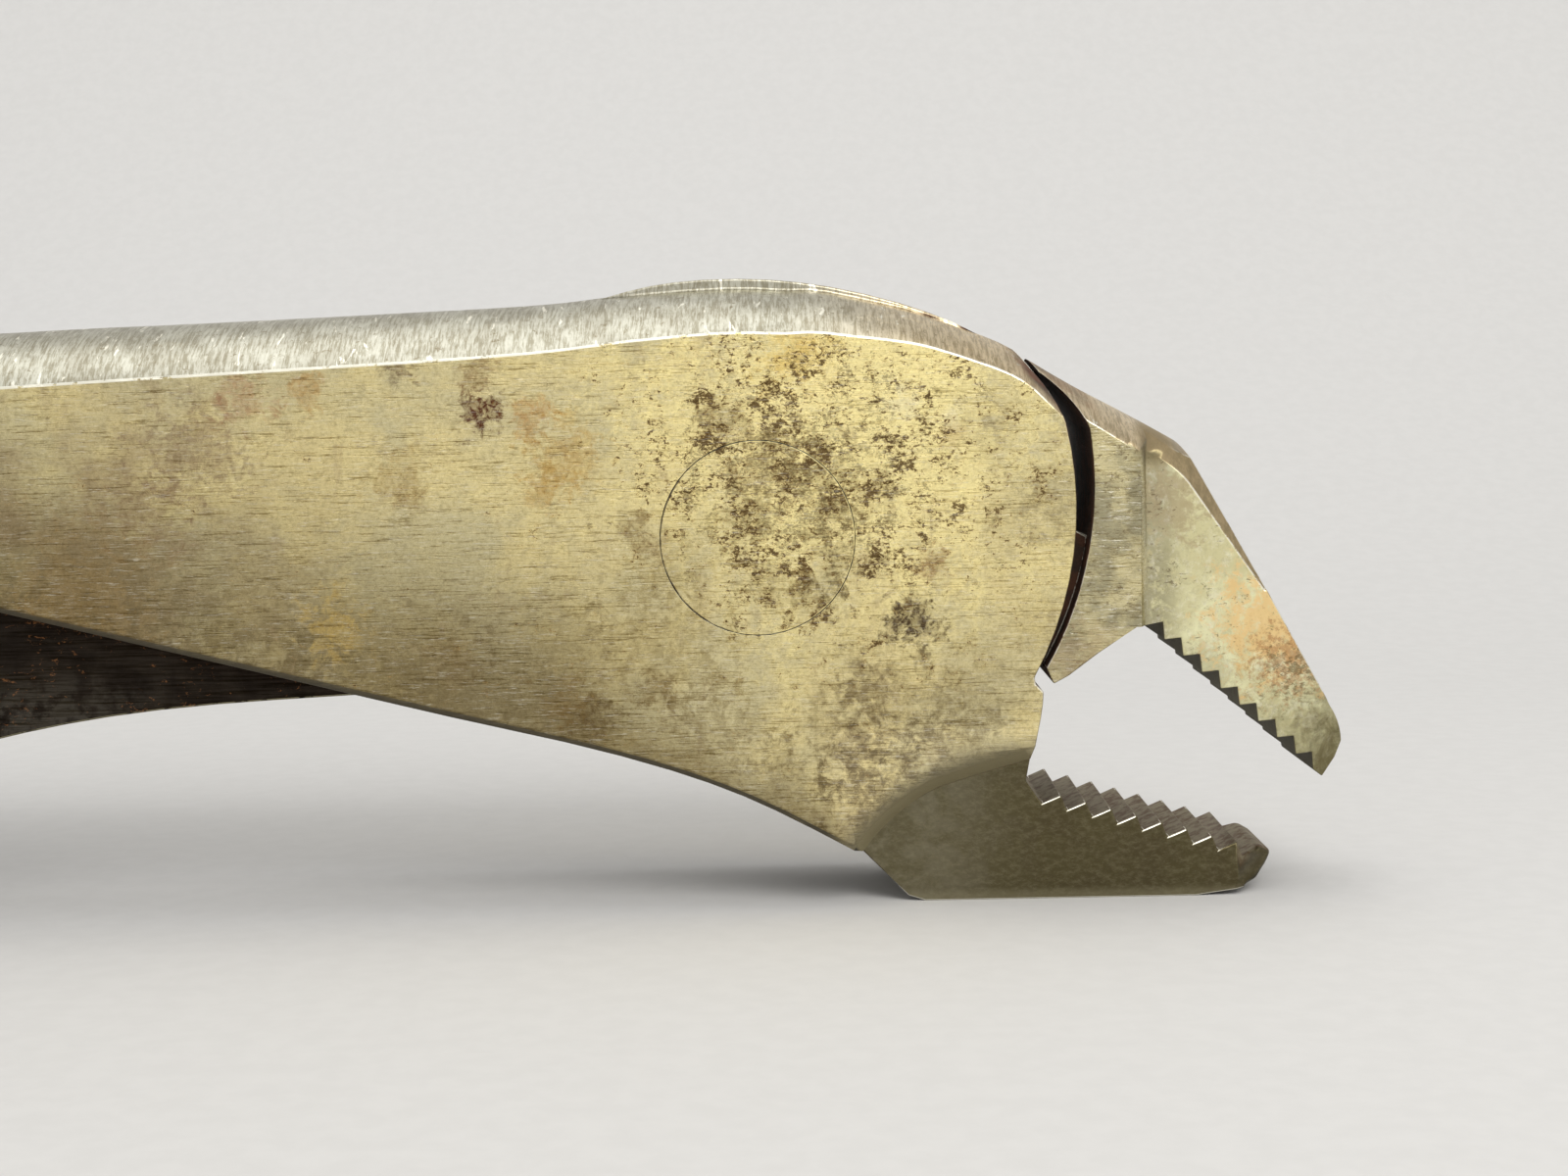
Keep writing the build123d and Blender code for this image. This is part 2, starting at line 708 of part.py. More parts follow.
def adjusting_screw():
    """A threaded rod with a turned tip, a ring groove and a plain shank in the knob."""
    start = SCREW_TIP_LENGTH + RING_THICKNESS + 0.6
    knob_front = SCREW_LENGTH - KNOB_LENGTH
    points = [(SCREW_TIP_RADIUS - 0.8, 0), (SCREW_TIP_RADIUS, 0.8), (SCREW_TIP_RADIUS, start)]
    turns = int((knob_front - start) / THREAD_PITCH)
    for i in range(turns):
        z = start + i * THREAD_PITCH
        points += [(SCREW_RADIUS, z + 0.15 * THREAD_PITCH), (SCREW_RADIUS, z + 0.3 * THREAD_PITCH)]
        points += [(SCREW_RADIUS - THREAD_DEPTH, z + 0.8 * THREAD_PITCH)]
    points += [(SHANK_RADIUS, knob_front), (SHANK_RADIUS, SCREW_LENGTH - 2.0)]
    rod = along_screw(SCREW_TIP_AT[0]) * turned(points)
    collar = [
        (SCREW_TIP_RADIUS - 0.5, 2.2),
        (SCREW_TIP_RADIUS + 0.5, 2.3),
        (SCREW_TIP_RADIUS + 0.5, 2.9),
        (SCREW_TIP_RADIUS, SCREW_TIP_LENGTH),
    ]
    rod += along_screw(SCREW_TIP_AT[0]) * turned(collar)
    return rod - knob_pin()


def screw_retaining_ring():
    """A split ring in the groove behind the tip, which stops the screw from coming right out."""
    place = SCREW_TIP_AT[0] - SCREW_TIP_LENGTH - 0.1
    middle = along_screw(place) * Pos(0, 0, RING_THICKNESS / 2)
    ring = middle * Cylinder(RING_RADIUS, RING_THICKNESS)
    ring -= middle * Cylinder(SCREW_TIP_RADIUS + RUNNING_CLEARANCE, RING_THICKNESS + 1)
    gap = middle * Pos(0, -RING_RADIUS, 0) * Box(1.6, RING_RADIUS * 2, RING_THICKNESS + 1)
    return ring - gap


def screw_knob():
    """The knurled head of the adjusting screw."""
    points = []
    for i in range(KNOB_TEETH):
        for share, radius in ((0.0, KNOB_RADIUS), (0.5, KNOB_RADIUS - KNURL_DEPTH)):
            angle = 2 * math.pi * (i + share) / KNOB_TEETH
            points.append((radius * math.cos(angle), radius * math.sin(angle)))
    knurled = extrude(make_face(Polyline(*points, close=True)), amount=KNOB_LENGTH)
    edge = 1.0
    barrel = turned(
        [
            (KNOB_RADIUS - edge, 0),
            (KNOB_RADIUS + 0.1, edge),
            (KNOB_RADIUS + 0.1, KNOB_LENGTH - edge),
            (KNOB_RADIUS - edge, KNOB_LENGTH),
        ]
    )
    knob = (knurled & barrel) - Cylinder(SHANK_RADIUS, 2 * (KNOB_LENGTH - 2.0))
    front = SCREW_TIP_AT[0] - SCREW_LENGTH + KNOB_LENGTH
    return along_screw(front) * knob - knob_pin()


def knob_pin():
    """A cross pin through the knob and the screw's shank."""
    middle = KNOB_REAR + KNOB_LENGTH / 2
    x, z = screw_point(middle)
    return pin((x, z), KNOB_PIN_RADIUS, -KNOB_RADIUS + 0.7, KNOB_RADIUS - 0.7)


# ---- return spring ----
def return_spring():
    """An extension spring from the jaw's tail to the handle: close turns with a hook at each end."""
    ends = [Vector(at[0], 0, at[1]) for at in (SPRING_POST_AT, SPRING_ANCHOR_AT)]
    line = (ends[1] - ends[0]).normalized()
    length = (ends[1] - ends[0]).length
    start = (length - RETURN_COIL_LENGTH) / 2
    frame = Plane(origin=ends[0], x_dir=(0, 1, 0), z_dir=line)
    outer = [(0, start)]
    turns = int(RETURN_COIL_LENGTH / (2 * WIRE_RADIUS))
    step = RETURN_COIL_LENGTH / turns
    for i in range(turns):
        z = start + i * step
        outer += [(RETURN_COIL_RADIUS - WIRE_RADIUS, z), (RETURN_COIL_RADIUS, z + step / 2)]
    outer += [(RETURN_COIL_RADIUS - WIRE_RADIUS, start + RETURN_COIL_LENGTH)]
    coil = frame.location * turned(outer[1:])
    hollow = Cylinder(RETURN_COIL_RADIUS - 2 * WIRE_RADIUS, RETURN_COIL_LENGTH - 4 * WIRE_RADIUS)
    coil -= frame.location * Pos(0, 0, length / 2) * hollow
    for at, radius, turn in ((0, SPRING_POST_RADIUS, 1), (length, SPRING_ANCHOR_RADIUS, -1)):
        loop_radius = radius + RUNNING_CLEARANCE + WIRE_RADIUS
        loop = Torus(loop_radius, WIRE_RADIUS)
        coil += frame.location * Pos(0, 0, at) * Rot(0, 90, 0) * loop
        reach = start - loop_radius + 0.2
        shank = Cylinder(WIRE_RADIUS, reach)
        coil += frame.location * Pos(0, 0, at + turn * (loop_radius + reach / 2)) * shank
    return coil


PIECES = {
    "body_shell": body_shell,
    "fixed_jaw": fixed_jaw,
    "pivot_pin": pivot_pin,
    "pivot_pin_cap": pivot_pin_cap,
    "screw_nut": screw_nut,
    "screw_nut_rivets": screw_nut_rivets,
    "upper_jaw": upper_jaw,
    "spring_post": spring_post,
    "lower_handle": lower_handle,
    "handle_pin": handle_pin,
    "link_pin": link_pin,
    "release_lever_pin": release_lever_pin,
    "spring_anchor_pin": spring_anchor_pin,
    "return_spring": return_spring,
    "lever_spring": lever_spring,
    "lever_spring_rivet": lever_spring_rivet,
    "link_plate_left": lambda: link_plate(1),
    "link_plate_right": lambda: link_plate(-1),
    "link_spacer": link_spacer,
    "thrust_block": thrust_block,
    "link_rivets": link_rivets,
    "release_lever": release_lever,
    "screw_retaining_ring": screw_retaining_ring,
    "adjusting_screw": adjusting_screw,
    "screw_knob": screw_knob,
    "knob_pin": knob_pin,
}


def main():
    os.makedirs("parts", exist_ok=True)
    shapes = {node: make() for node, make in PIECES.items()}
    boxes = [shape.bounding_box() for shape in shapes.values()]
    middle = (min(box.min.X for box in boxes) + max(box.max.X for box in boxes)) / 2
    lowest = min(box.min.Z for box in boxes)
    print(f"jaw pivot at x = {-middle:.3f}, z = {-lowest:.3f}")
    for node, shape in shapes.items():
        export_step(Pos(-middle, 0, -lowest) * shape, f"parts/{node}.step")


main()
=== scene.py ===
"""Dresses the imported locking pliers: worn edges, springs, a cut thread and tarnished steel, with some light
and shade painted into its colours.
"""

import json
import math

import bmesh
import bpy
from bpy.props import FloatProperty, FloatVectorProperty, PointerProperty
from mathutils import Matrix, Vector


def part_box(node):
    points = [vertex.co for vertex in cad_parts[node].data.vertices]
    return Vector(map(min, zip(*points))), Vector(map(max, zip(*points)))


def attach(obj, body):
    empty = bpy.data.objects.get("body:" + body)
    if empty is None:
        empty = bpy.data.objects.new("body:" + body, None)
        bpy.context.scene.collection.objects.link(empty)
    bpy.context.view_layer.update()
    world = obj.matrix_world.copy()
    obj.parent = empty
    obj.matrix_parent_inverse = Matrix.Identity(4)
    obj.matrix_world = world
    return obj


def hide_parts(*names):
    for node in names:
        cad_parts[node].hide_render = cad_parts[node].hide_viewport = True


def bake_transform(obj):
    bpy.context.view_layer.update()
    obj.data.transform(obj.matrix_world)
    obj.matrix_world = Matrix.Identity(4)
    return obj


bl_info = {
    "name": "Locking Pliers",
    "version": (1, 0, 0),
    "blender": (4, 5, 0),
    "location": "View3D > Sidebar > Pliers",
    "description": "Builds the visible pieces and finishes of a pair of locking pliers",
    "category": "Object",
}

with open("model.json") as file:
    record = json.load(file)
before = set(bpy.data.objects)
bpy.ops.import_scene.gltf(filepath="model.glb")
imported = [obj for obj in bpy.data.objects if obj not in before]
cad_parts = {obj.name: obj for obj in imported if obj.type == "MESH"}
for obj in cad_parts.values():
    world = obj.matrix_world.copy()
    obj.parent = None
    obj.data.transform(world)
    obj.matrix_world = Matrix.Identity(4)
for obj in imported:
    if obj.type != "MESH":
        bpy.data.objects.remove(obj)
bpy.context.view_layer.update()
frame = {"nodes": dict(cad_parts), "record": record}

MM = 0.001
WELD = 0.002 * MM  # corners closer than this are one
FLAT = math.radians(0.6)  # faces that turn by less than this are one
ACROSS = Vector((0, 1, 0))


def middle(node):
    """The middle of a CAD node's box."""
    low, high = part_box(node)
    return (low + high) / 2


def length_of(node):
    """How far a CAD node reaches along the tool."""
    low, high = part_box(node)
    return high.x - low.x


PIVOT = middle("pivot_pin")
PIVOT_RIM = length_of("pivot_pin_cap") / 2
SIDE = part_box("body_shell")[1].y
JAW_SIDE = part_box("fixed_jaw")[1].y

# Places in the side view: x forward and z up, in mm from the jaw pivot.
STEP = 25.1  # x of the step from the upper jaw's root down to its nose
BEND_CENTRE = (18.52, -30.27)  # of the arc on which the body's wall bends in over the lower jaw
BEND_RADIUS = 15.41 * MM
RAMP_CORNER = (5.6, -13.0)  # the ramp lies ahead of this and below it
CREST_BASE = 7.0  # z over which the narrow crest stands on the crown
CREST_FRONT = (11.8, 14.2)  # x at both ends of the crest's thin front
CREST_HALF = 2.2 * MM
HANDLE_FOOT = (-20.5, -9.6)  # where the lower handle's sloping front edge starts
HANDLE_SLOPE = 1.7625
HANDLE_REACH = 8.1  # how far forward that edge runs
NOSE_TIP = 38.2  # x past which the upper nose is rounder
TOE = (31.0, -20.5)  # the lower jaw is rounder ahead of this and below it
LOWER_EDGE = (-20, -11.2, -0.255)  # a place on the body's lower edge, and the slope there
LOWER_RIM = (-6.2, -14.9, -0.44)  # the same under the head
NEAR = 0.1  # how far from its line or plane an edge may lie


def at(x, z):
    """A point in the side view, given in millimetres from the jaw pivot."""
    return PIVOT + Vector((x, 0, z)) * MM


# ---- settings ----
def length_property(name, description, millimetres):
    return FloatProperty(
        name=name, description=description, default=millimetres * MM, unit="LENGTH", precision=5
    )


class PliersSizes(bpy.types.PropertyGroup):
    """Sizes of the details that the solids leave out."""

    edge: length_property("Edge", "Width of a worn edge", 0.11)
    fine_edge: length_property("Fine edge", "Width of a worn edge on small pieces and teeth", 0.09)
    jaw_edge: length_property("Jaw edge", "Width of a worn edge on the lower jaw", 0.117)
    flush_edge: length_property("Flush edge", "Rounding round the flush pivot", 0.02)
    crest_edge: length_property("Crest edge", "Rounding of the crest over the pivot", 0.15)
    ramp_edge: length_property("Ramp edge", "Rounding of the bend over the lower jaw", 0.7)
    nose_edge: length_property("Nose edge", "Rounding of the upper nose's tip", 0.25)
    toe_edge: length_property("Toe edge", "Rounding of the lower jaw's tip", 0.3)
    wire: length_property("Wire", "Radius of the spring's wire", 0.4)
    coil: length_property("Coil", "Radius of the spring at the middle of its wire", 1.8)
    coil_length: length_property("Coil length", "Length of the wound part", 16)
    pitch: length_property("Pitch", "Pitch of the adjusting screw", 1.5)
    thread_depth: length_property("Thread depth", "Depth of the screw's thread", 0.7)
    screw: length_property("Screw", "Radius over the screw's thread", 3.5)
    thread_start: length_property("Thread start", "Length of the screw's plain tip", 4.4)


def paint(red, green, blue):
    """A colour in the linear values that the shaders take, from display values out of 255."""
    return tuple(
        value / 12.92 if value <= 0.04045 else ((value + 0.055) / 1.055) ** 2.4
        for value in (red / 255, green / 255, blue / 255)
    )


def colour_property(name, description, *display):
    return FloatVectorProperty(
        name=name, description=description, default=paint(*display), subtype="COLOR", min=0, max=1
    )


class PliersColours(bpy.types.PropertyGroup):
    """Colours of the steel and of what has grown on it."""

    olive: colour_property("Olive", "Tarnished steel of the sides", 208, 197, 154)
    gold: colour_property("Gold", "Straw-coloured tarnish", 228, 212, 156)
    # Painted highlight: the warm pool of lamp light on the side above the pivot, and the pale front of the
    # pivot's ring.
    bright_gold: colour_property("Bright gold", "Tarnish above the pivot", 250, 234, 168)
    brown: colour_property("Brown", "Brown film towards the rear", 164, 144, 112)
    # Painted shade along the body's lower edge, under the head and on the upper jaw's shoulder, and also dark
    # brown grit and spots.
    low_brown: colour_property("Low brown", "Darker film along the lower edge", 112, 97, 66)
    amber: colour_property("Amber", "Orange-brown rims of the specks", 206, 162, 88)
    line_bed: colour_property("Line bed", "Shade in the brushed lines", 160, 150, 124)
    white: colour_property("White", "No shade", 255, 255, 255)
    # Painted lighter than the steel, lifting the shade that the slope down to the lower jaw falls into.
    ramp: colour_property("Ramp", "Slope from the body down to the lower jaw", 158, 148, 116)
    # Edges rubbed bright, and also painted highlights on edges that face up and on the lower jaw's sole.
    burnished: colour_property("Burnished", "Edges rubbed bright", 240, 237, 222)
    # Painted glints: bright flecks of lamp light on brushed lines, scratches, the nose and the tooth edges.
    glint: colour_property("Glint", "Fresh scratches and nicks", 246, 242, 226)
    spine: colour_property("Spine", "Grey crown of the handle", 197, 195, 180)
    # Darker clouds on the crown, and painted shade along the crown's top.
    spine_shade: colour_property("Spine shade", "Darker steel along the crown's top", 166, 161, 143)
    spine_front: colour_property("Spine front", "Brown crown over the jaw", 234, 212, 172)
    freckle: colour_property("Freckle", "Dark specks", 84, 64, 40)
    rust: colour_property("Rust", "Red-brown rust", 170, 116, 74)
    pale_rust: colour_property("Pale rust", "Orange bloom on the nose", 236, 200, 138)
    # Also the painted shade on the back half of the ring round the pivot.
    dark_rust: colour_property("Dark rust", "Nearly black rust in the pits", 58, 40, 26)
    slit_rust: colour_property("Slit rust", "Red-brown rust in the slit", 86, 52, 30)
    # Painted shade on faces that turn down.
    underside: colour_property("Underside", "Dark steel that faces down", 66, 60, 46)
    # The lower jaw's olive steel, partly painted dark as a reflection of dark surroundings; also the painted
    # shade by the bend.
    jaw: colour_property("Lower jaw", "Dark olive steel", 114, 108, 88)
    jaw_shade: colour_property("Lower jaw shade", "Darker clouds on the lower jaw", 86, 79, 54)
    jaw_front: colour_property("Lower jaw front", "Browner steel below the teeth", 74, 65, 42)
    tooth: colour_property("Teeth", "Grey-brown steel of the teeth", 146, 136, 112)
    tooth_rust: colour_property("Tooth rust", "Rust between the teeth", 106, 82, 58)
    root: colour_property("Jaw root", "Grey steel behind the nose", 160, 153, 124)
    nose: colour_property("Nose", "Smooth grey-green steel of the upper nose", 232, 229, 186)
    nose_shade: colour_property("Nose shade", "Darker clouds on the nose", 210, 203, 158)
    nose_tip: colour_property("Nose tip", "Dark olive steel of the tip", 108, 99, 68)
    nose_back: colour_property("Nose back", "Brown steel of the nose's sloping back", 176, 156, 120)
    # Painted shadow that the body casts on the lower handle, in red-brown.
    handle_red: colour_property("Handle red", "Rusty shade under the body", 36, 22, 16)
    # Painted light on the handle's belly, where light from the floor falls.
    handle_grey: colour_property("Handle grey", "Rubbed steel of the belly", 92, 88, 80)


def sizes():
    return bpy.context.scene.pliers_sizes


def colours():
    return bpy.context.scene.pliers_colours


# ---- materials ----
class Finish:
    """A procedural material under construction, with short calls for its nodes."""

    FACTOR, FIRST, SECOND, RESULT = 0, 6, 7, 2  # the colour sockets of a Mix node

    def __init__(self, name):
        self.material = bpy.data.materials.new(name)
        self.material.use_nodes = True
        self.tree = self.material.node_tree
        self.shader = self.tree.nodes["Principled BSDF"]
        coordinates = self.tree.nodes.new("ShaderNodeTexCoord")
        self.place = coordinates.outputs["Object"]
        self.normal = coordinates.outputs["Normal"]

    def add(self, kind, *inputs, **settings):
        """A new node with its settings, and its first inputs joined or set."""
        node = self.tree.nodes.new(kind)
        for key, value in settings.items():
            setattr(node, key, value)
        for socket, value in zip(node.inputs, inputs):
            self.put(value, socket)
        return node

    def put(self, value, socket):
        """Joins an output to a socket, or writes a plain value or one of the named colours on it."""
        if isinstance(value, str):
            value = getattr(colours(), value)
        if isinstance(value, bpy.types.NodeSocket):
            self.tree.links.new(value, socket)
        elif socket.type == "RGBA":
            socket.default_value = (*tuple(value)[:3], 1)
        else:
            socket.default_value = value

    def math(self, operation, *values):
        return self.add("ShaderNodeMath", *values, operation=operation).outputs[0]

    def chain(self, operation, *values):
        """Any number of values joined by one operation."""
        joined = values[0]
        for value in values[1:]:
            joined = self.math(operation, joined, value)
        return joined

    def product(self, *values):
        return self.chain("MULTIPLY", *values)

    def total(self, *values):
        return self.chain("ADD", *values)

    def largest(self, *values):
        return self.chain("MAXIMUM", *values)

    def less(self, value, taken):
        return self.math("SUBTRACT", value, taken)

    def inverse(self, share):
        return self.less(1.0, share)

    def at_least(self, low, share):
        """A share from 0 to 1, pressed into the range from low to 1."""
        return self.total(low, self.product(share, 1 - low))

    def size_of(self, value):
        return self.math("ABSOLUTE", value)

    def axis(self, name):
        """One of the object coordinates."""
        return self.add("ShaderNodeSeparateXYZ", self.place).outputs["XYZ".index(name)]

    def facing(self, name):
        """How far the surface faces along an axis, from -1 to 1."""
        return self.add("ShaderNodeSeparateXYZ", self.normal).outputs["XYZ".index(name)]

    def within(self, value, low, high):
        """0 up to low, 1 from high on, and a smooth climb between; high below low turns it round."""
        node = self.add("ShaderNodeMapRange", interpolation_type="SMOOTHSTEP")
        ends = (low, high, 0.0, 1.0) if low < high else (high, low, 1.0, 0.0)
        for socket, number in zip(("From Min", "From Max", "To Min", "To Max"), ends):
            node.inputs[socket].default_value = number
        self.put(value, node.inputs["Value"])
        return node.outputs["Result"]

    # Each of these masks is 0 at its first end and 1 at its second, as within() has it.
    def along(self, start, end):
        """By the place along the tool, in mm forward of the pivot."""
        return self.within(self.axis("X"), at(start, 0).x, at(end, 0).x)

    def at_height(self, start, end):
        """By the height, in mm above the pivot."""
        return self.within(self.axis("Z"), at(0, start).z, at(0, end).z)

    def off_middle(self, start, end):
        """By the distance from the tool's middle plane."""
        return self.within(self.size_of(self.axis("Y")), start, end)

    def facing_side(self, start, end):
        """By how far the surface faces either side."""
        return self.within(self.size_of(self.facing("Y")), start, end)

    def facing_up(self, start, end):
        return self.within(self.facing("Z"), start, end)

    def stretched(self, x, y, z, turn=0.0):
        """Object coordinates with each axis scaled, in features per millimetre."""
        node = self.add("ShaderNodeMapping")
        self.put(self.place, node.inputs["Vector"])
        node.inputs["Rotation"].default_value = (0, turn, 0)
        node.inputs["Scale"].default_value = (x / MM, y / MM, z / MM)
        return node.outputs["Vector"]

    def noise(self, vector, detail=2.0, roughness=0.5, warp=0.0):
        node = self.add("ShaderNodeTexNoise", noise_dimensions="3D")
        self.put(vector, node.inputs["Vector"])
        node.inputs["Scale"].default_value = 1.0
        node.inputs["Detail"].default_value = detail
        node.inputs["Roughness"].default_value = roughness
        node.inputs["Distortion"].default_value = warp
        return node.outputs[0]

    def clouds(self, per_mm, detail=4.0, roughness=0.6, warp=0.0):
        return self.noise(self.stretched(per_mm, per_mm, per_mm), detail, roughness, warp)

    def patches(self, low, high, *shape):
        """Clouds cut to a mask, 0 under low and 1 over high."""
        return self.within(self.clouds(*shape), low, high)

    def streaks(self, low, high, scale, *shape):
        """Stretched noise cut to a mask, 0 under low and 1 over high."""
        return self.within(self.noise(self.stretched(*scale), *shape), low, high)

    def mix(self, share, first, second, blend="MIX"):
        node = self.add("ShaderNodeMix", data_type="RGBA", blend_type=blend)
        self.put(share, node.inputs[self.FACTOR])
        self.put(first, node.inputs[self.FIRST])
        self.put(second, node.inputs[self.SECOND])
        return node.outputs[self.RESULT]

    def coat(self, colour, over, *shares):
        """A colour with another laid over it, by the product of the shares."""
        return self.mix(self.product(*shares), colour, over)

    def from_pivot(self, x, z):
        """Distance in the side view from a place given from the pivot."""
        offset = self.add("ShaderNodeVectorMath", self.place, tuple(at(x, z)), operation="SUBTRACT")
        flat = self.add("ShaderNodeVectorMath", offset.outputs[0], (1.0, 0.0, 1.0), operation="MULTIPLY")
        return self.add("ShaderNodeVectorMath", flat.outputs[0], operation="LENGTH").outputs["Value"]

    def above(self, x, z, slope):
        """Height over a sloping line through a place in the side view."""
        start = at(x, z)
        level = self.total(self.axis("Z"), self.product(self.axis("X"), -slope))
        return self.less(level, start.z - slope * start.x)

    def near(self, x, z, radius, soft=0.5, ragged=0.0, wobble=None):
        """1 round a place, falling to 0 at a radius in mm; a noise from 0 to 1 makes the rim ragged."""
        distance = self.from_pivot(x, z)
        if wobble is not None:
            shift = self.product(self.less(wobble, 0.5), ragged * radius * 2 * MM)
            distance = self.total(distance, shift)
        return self.within(distance, radius * MM, radius * (1 - soft) * MM)

    def edge_mask(self):
        """1 on the roundings that worn_copy() marks with burnish, where the finishes paint rubbed edges and
        edge highlights.
        """
        return self.add("ShaderNodeAttribute", attribute_name="burnish").outputs["Fac"]

    def finish(self, colour, rough, height=None, depth=0.02, metallic=1.0):
        """Wires colour, roughness and relief, and gives the material back."""
        self.put(colour, self.shader.inputs["Base Color"])
        self.put(rough, self.shader.inputs["Roughness"])
        self.put(metallic, self.shader.inputs["Metallic"])
        if height is not None:
            bump = self.add("ShaderNodeBump")
            bump.inputs["Strength"].default_value = 1.0
            bump.inputs["Distance"].default_value = depth * MM
            self.put(height, bump.inputs["Height"])
            self.put(bump.outputs["Normal"], self.shader.inputs["Normal"])
        return self.material

    def see_through_back(self):
        """Lets the eye through a surface from behind, so a backdrop never hides the object."""
        both = self.add("ShaderNodeMixShader", self.add("ShaderNodeNewGeometry").outputs["Backfacing"])
        self.put(self.shader.outputs[0], both.inputs[1])
        self.put(self.add("ShaderNodeBsdfTransparent").outputs[0], both.inputs[2])
        self.put(both.outputs[0], self.tree.nodes["Material Output"].inputs["Surface"])


# Blots on the body's sides, where the pale ones round x 9 to 12 and z 7 to 8.4 are painted highlights: x and
# z from the pivot and radius in mm, display colour, strength.
BLOTS_AND_HIGHLIGHTS = [
    (-17.3, 8.3, 1.5, (92, 54, 38), 1.0),
    (-17.6, 10.8, 1.3, (136, 104, 66), 0.6),
    (-14.2, 8.0, 1.4, (184, 132, 62), 0.6),
    (-12.0, 5.4, 2.4, (176, 136, 66), 0.55),
    (-13.4, 3.6, 1.6, (184, 146, 78), 0.5),
    (-22.8, 4.4, 1.9, (170, 140, 80), 0.5),
    (-22.2, 2.6, 1.2, (150, 126, 86), 0.45),
    (-27.0, -5.2, 2.2, (196, 166, 92), 0.6),
    (-7.6, 0.9, 1.3, (118, 94, 68), 0.6),
    (-6.6, -0.6, 1.1, (150, 124, 90), 0.5),
    (9.8, -5.7, 1.9, (78, 62, 46), 1.0),
    (5.8, -13.2, 3.4, (132, 114, 82), 0.35),
    (6.6, -16.6, 3.2, (112, 92, 62), 0.5),
    (-22.5, 11.6, 1.2, (96, 70, 50), 0.7),
    (-28.4, 10.0, 1.3, (188, 146, 84), 0.6),
    (3.4, -3.6, 2.4, (134, 114, 74), 0.5),
    (14.6, 7.0, 2.6, (138, 122, 92), 0.55),
    (17.0, 1.0, 2.6, (176, 164, 128), 0.5),
    (11.2, -1.8, 1.1, (138, 100, 62), 0.75),
    (7.0, -10.0, 2.1, (116, 98, 70), 0.65),
    (2.6, 11.6, 2.4, (214, 176, 76), 0.55),
    (-2.0, 7.4, 1.8, (112, 92, 58), 0.6),
    (0.6, 4.2, 2.4, (124, 102, 66), 0.5),
    (4.6, -1.6, 2.4, (124, 108, 74), 0.5),
    (12.6, 6.4, 0.9, (150, 104, 62), 0.6),
    (9.4, 8.4, 1.0, (238, 232, 204), 0.6),
    (12.4, 7.6, 0.8, (236, 230, 206), 0.5),
    (-11.0, -11.4, 1.7, (96, 76, 46), 0.8),
    (-12.6, -10.2, 1.6, (134, 108, 62), 0.6),
    (-6.6, -9.4, 1.4, (128, 104, 62), 0.55),
    (-19.6, -7.6, 1.8, (142, 120, 82), 0.5),
    (-36.0, 6.2, 3.6, (140, 116, 92), 0.6),
    (-39.0, 2.4, 2.8, (132, 106, 82), 0.5),
    (-44.0, -3.0, 5.0, (146, 122, 78), 0.5),
    (-32.5, 9.4, 1.8, (176, 128, 92), 0.5),
    (4.4, 4.4, 2.0, (108, 94, 60), 0.6),
    (5.0, 1.2, 1.9, (112, 98, 62), 0.6),
    (1.6, 5.6, 1.7, (112, 96, 60), 0.55),
    (4.2, -2.8, 1.5, (108, 96, 66), 0.55),
    (7.6, 3.0, 1.6, (132, 112, 66), 0.45),
    (-0.6, 1.2, 2.0, (120, 104, 66), 0.45),
    (8.0, -10.8, 5.0, (132, 116, 82), 0.45),
    (13.6, -10.0, 3.6, (150, 136, 100), 0.45),
    (12.6, -14.2, 3.4, (134, 120, 86), 0.5),
    (-3.6, -13.0, 4.0, (128, 110, 72), 0.5),
    (1.4, -16.4, 3.2, (124, 108, 74), 0.5),
    (18.6, -6.4, 2.6, (164, 148, 108), 0.4),
    (11.0, 7.0, 5.0, (250, 236, 172), 0.6),
    (-21.2, -7.6, 4.6, (108, 92, 62), 0.45),
    (-13.6, -7.8, 4.6, (114, 98, 66), 0.35),
    (-6.0, -6.8, 5.0, (130, 112, 72), 0.45),
    (-5.6, -1.6, 3.6, (146, 128, 84), 0.4),
    (19.2, 2.2, 3.0, (150, 136, 102), 0.6),
    (8.2, -15.8, 3.8, (108, 94, 66), 0.55),
    (1.0, -3.0, 2.0, (124, 106, 68), 0.45),
]


def freckles(steel, per_mm, density, low=0.53, high=0.58):
    """Irregular dark specks, which crowd together as the density goes from 0 to 1."""
    grain = steel.noise(steel.stretched(0.8 * per_mm, per_mm, 1.25 * per_mm), 6, 0.78, 0.5)
    patch = steel.product(steel.less(steel.clouds(per_mm / 7, 4, 0.65), 0.5), 0.5)
    level = steel.total(grain, patch, steel.product(steel.less(density, 1.0), 0.15))
    return steel.within(level, low, high)


def strokes(steel, long=0.5, across=11.0, low=0.3, high=0.56):
    """Short brushed lines along the tool, 0 in a line's bed and 1 on its crest."""
    return steel.streaks(low, high, (long, 1.0, across), 5, 0.8, 0.3)


def brushed(steel, colour, lines, share=1.0):
    """A colour darkened in the beds between brushed lines."""
    shade = steel.mix(lines, "line_bed", "white")
    return steel.mix(share, colour, shade, "MULTIPLY")


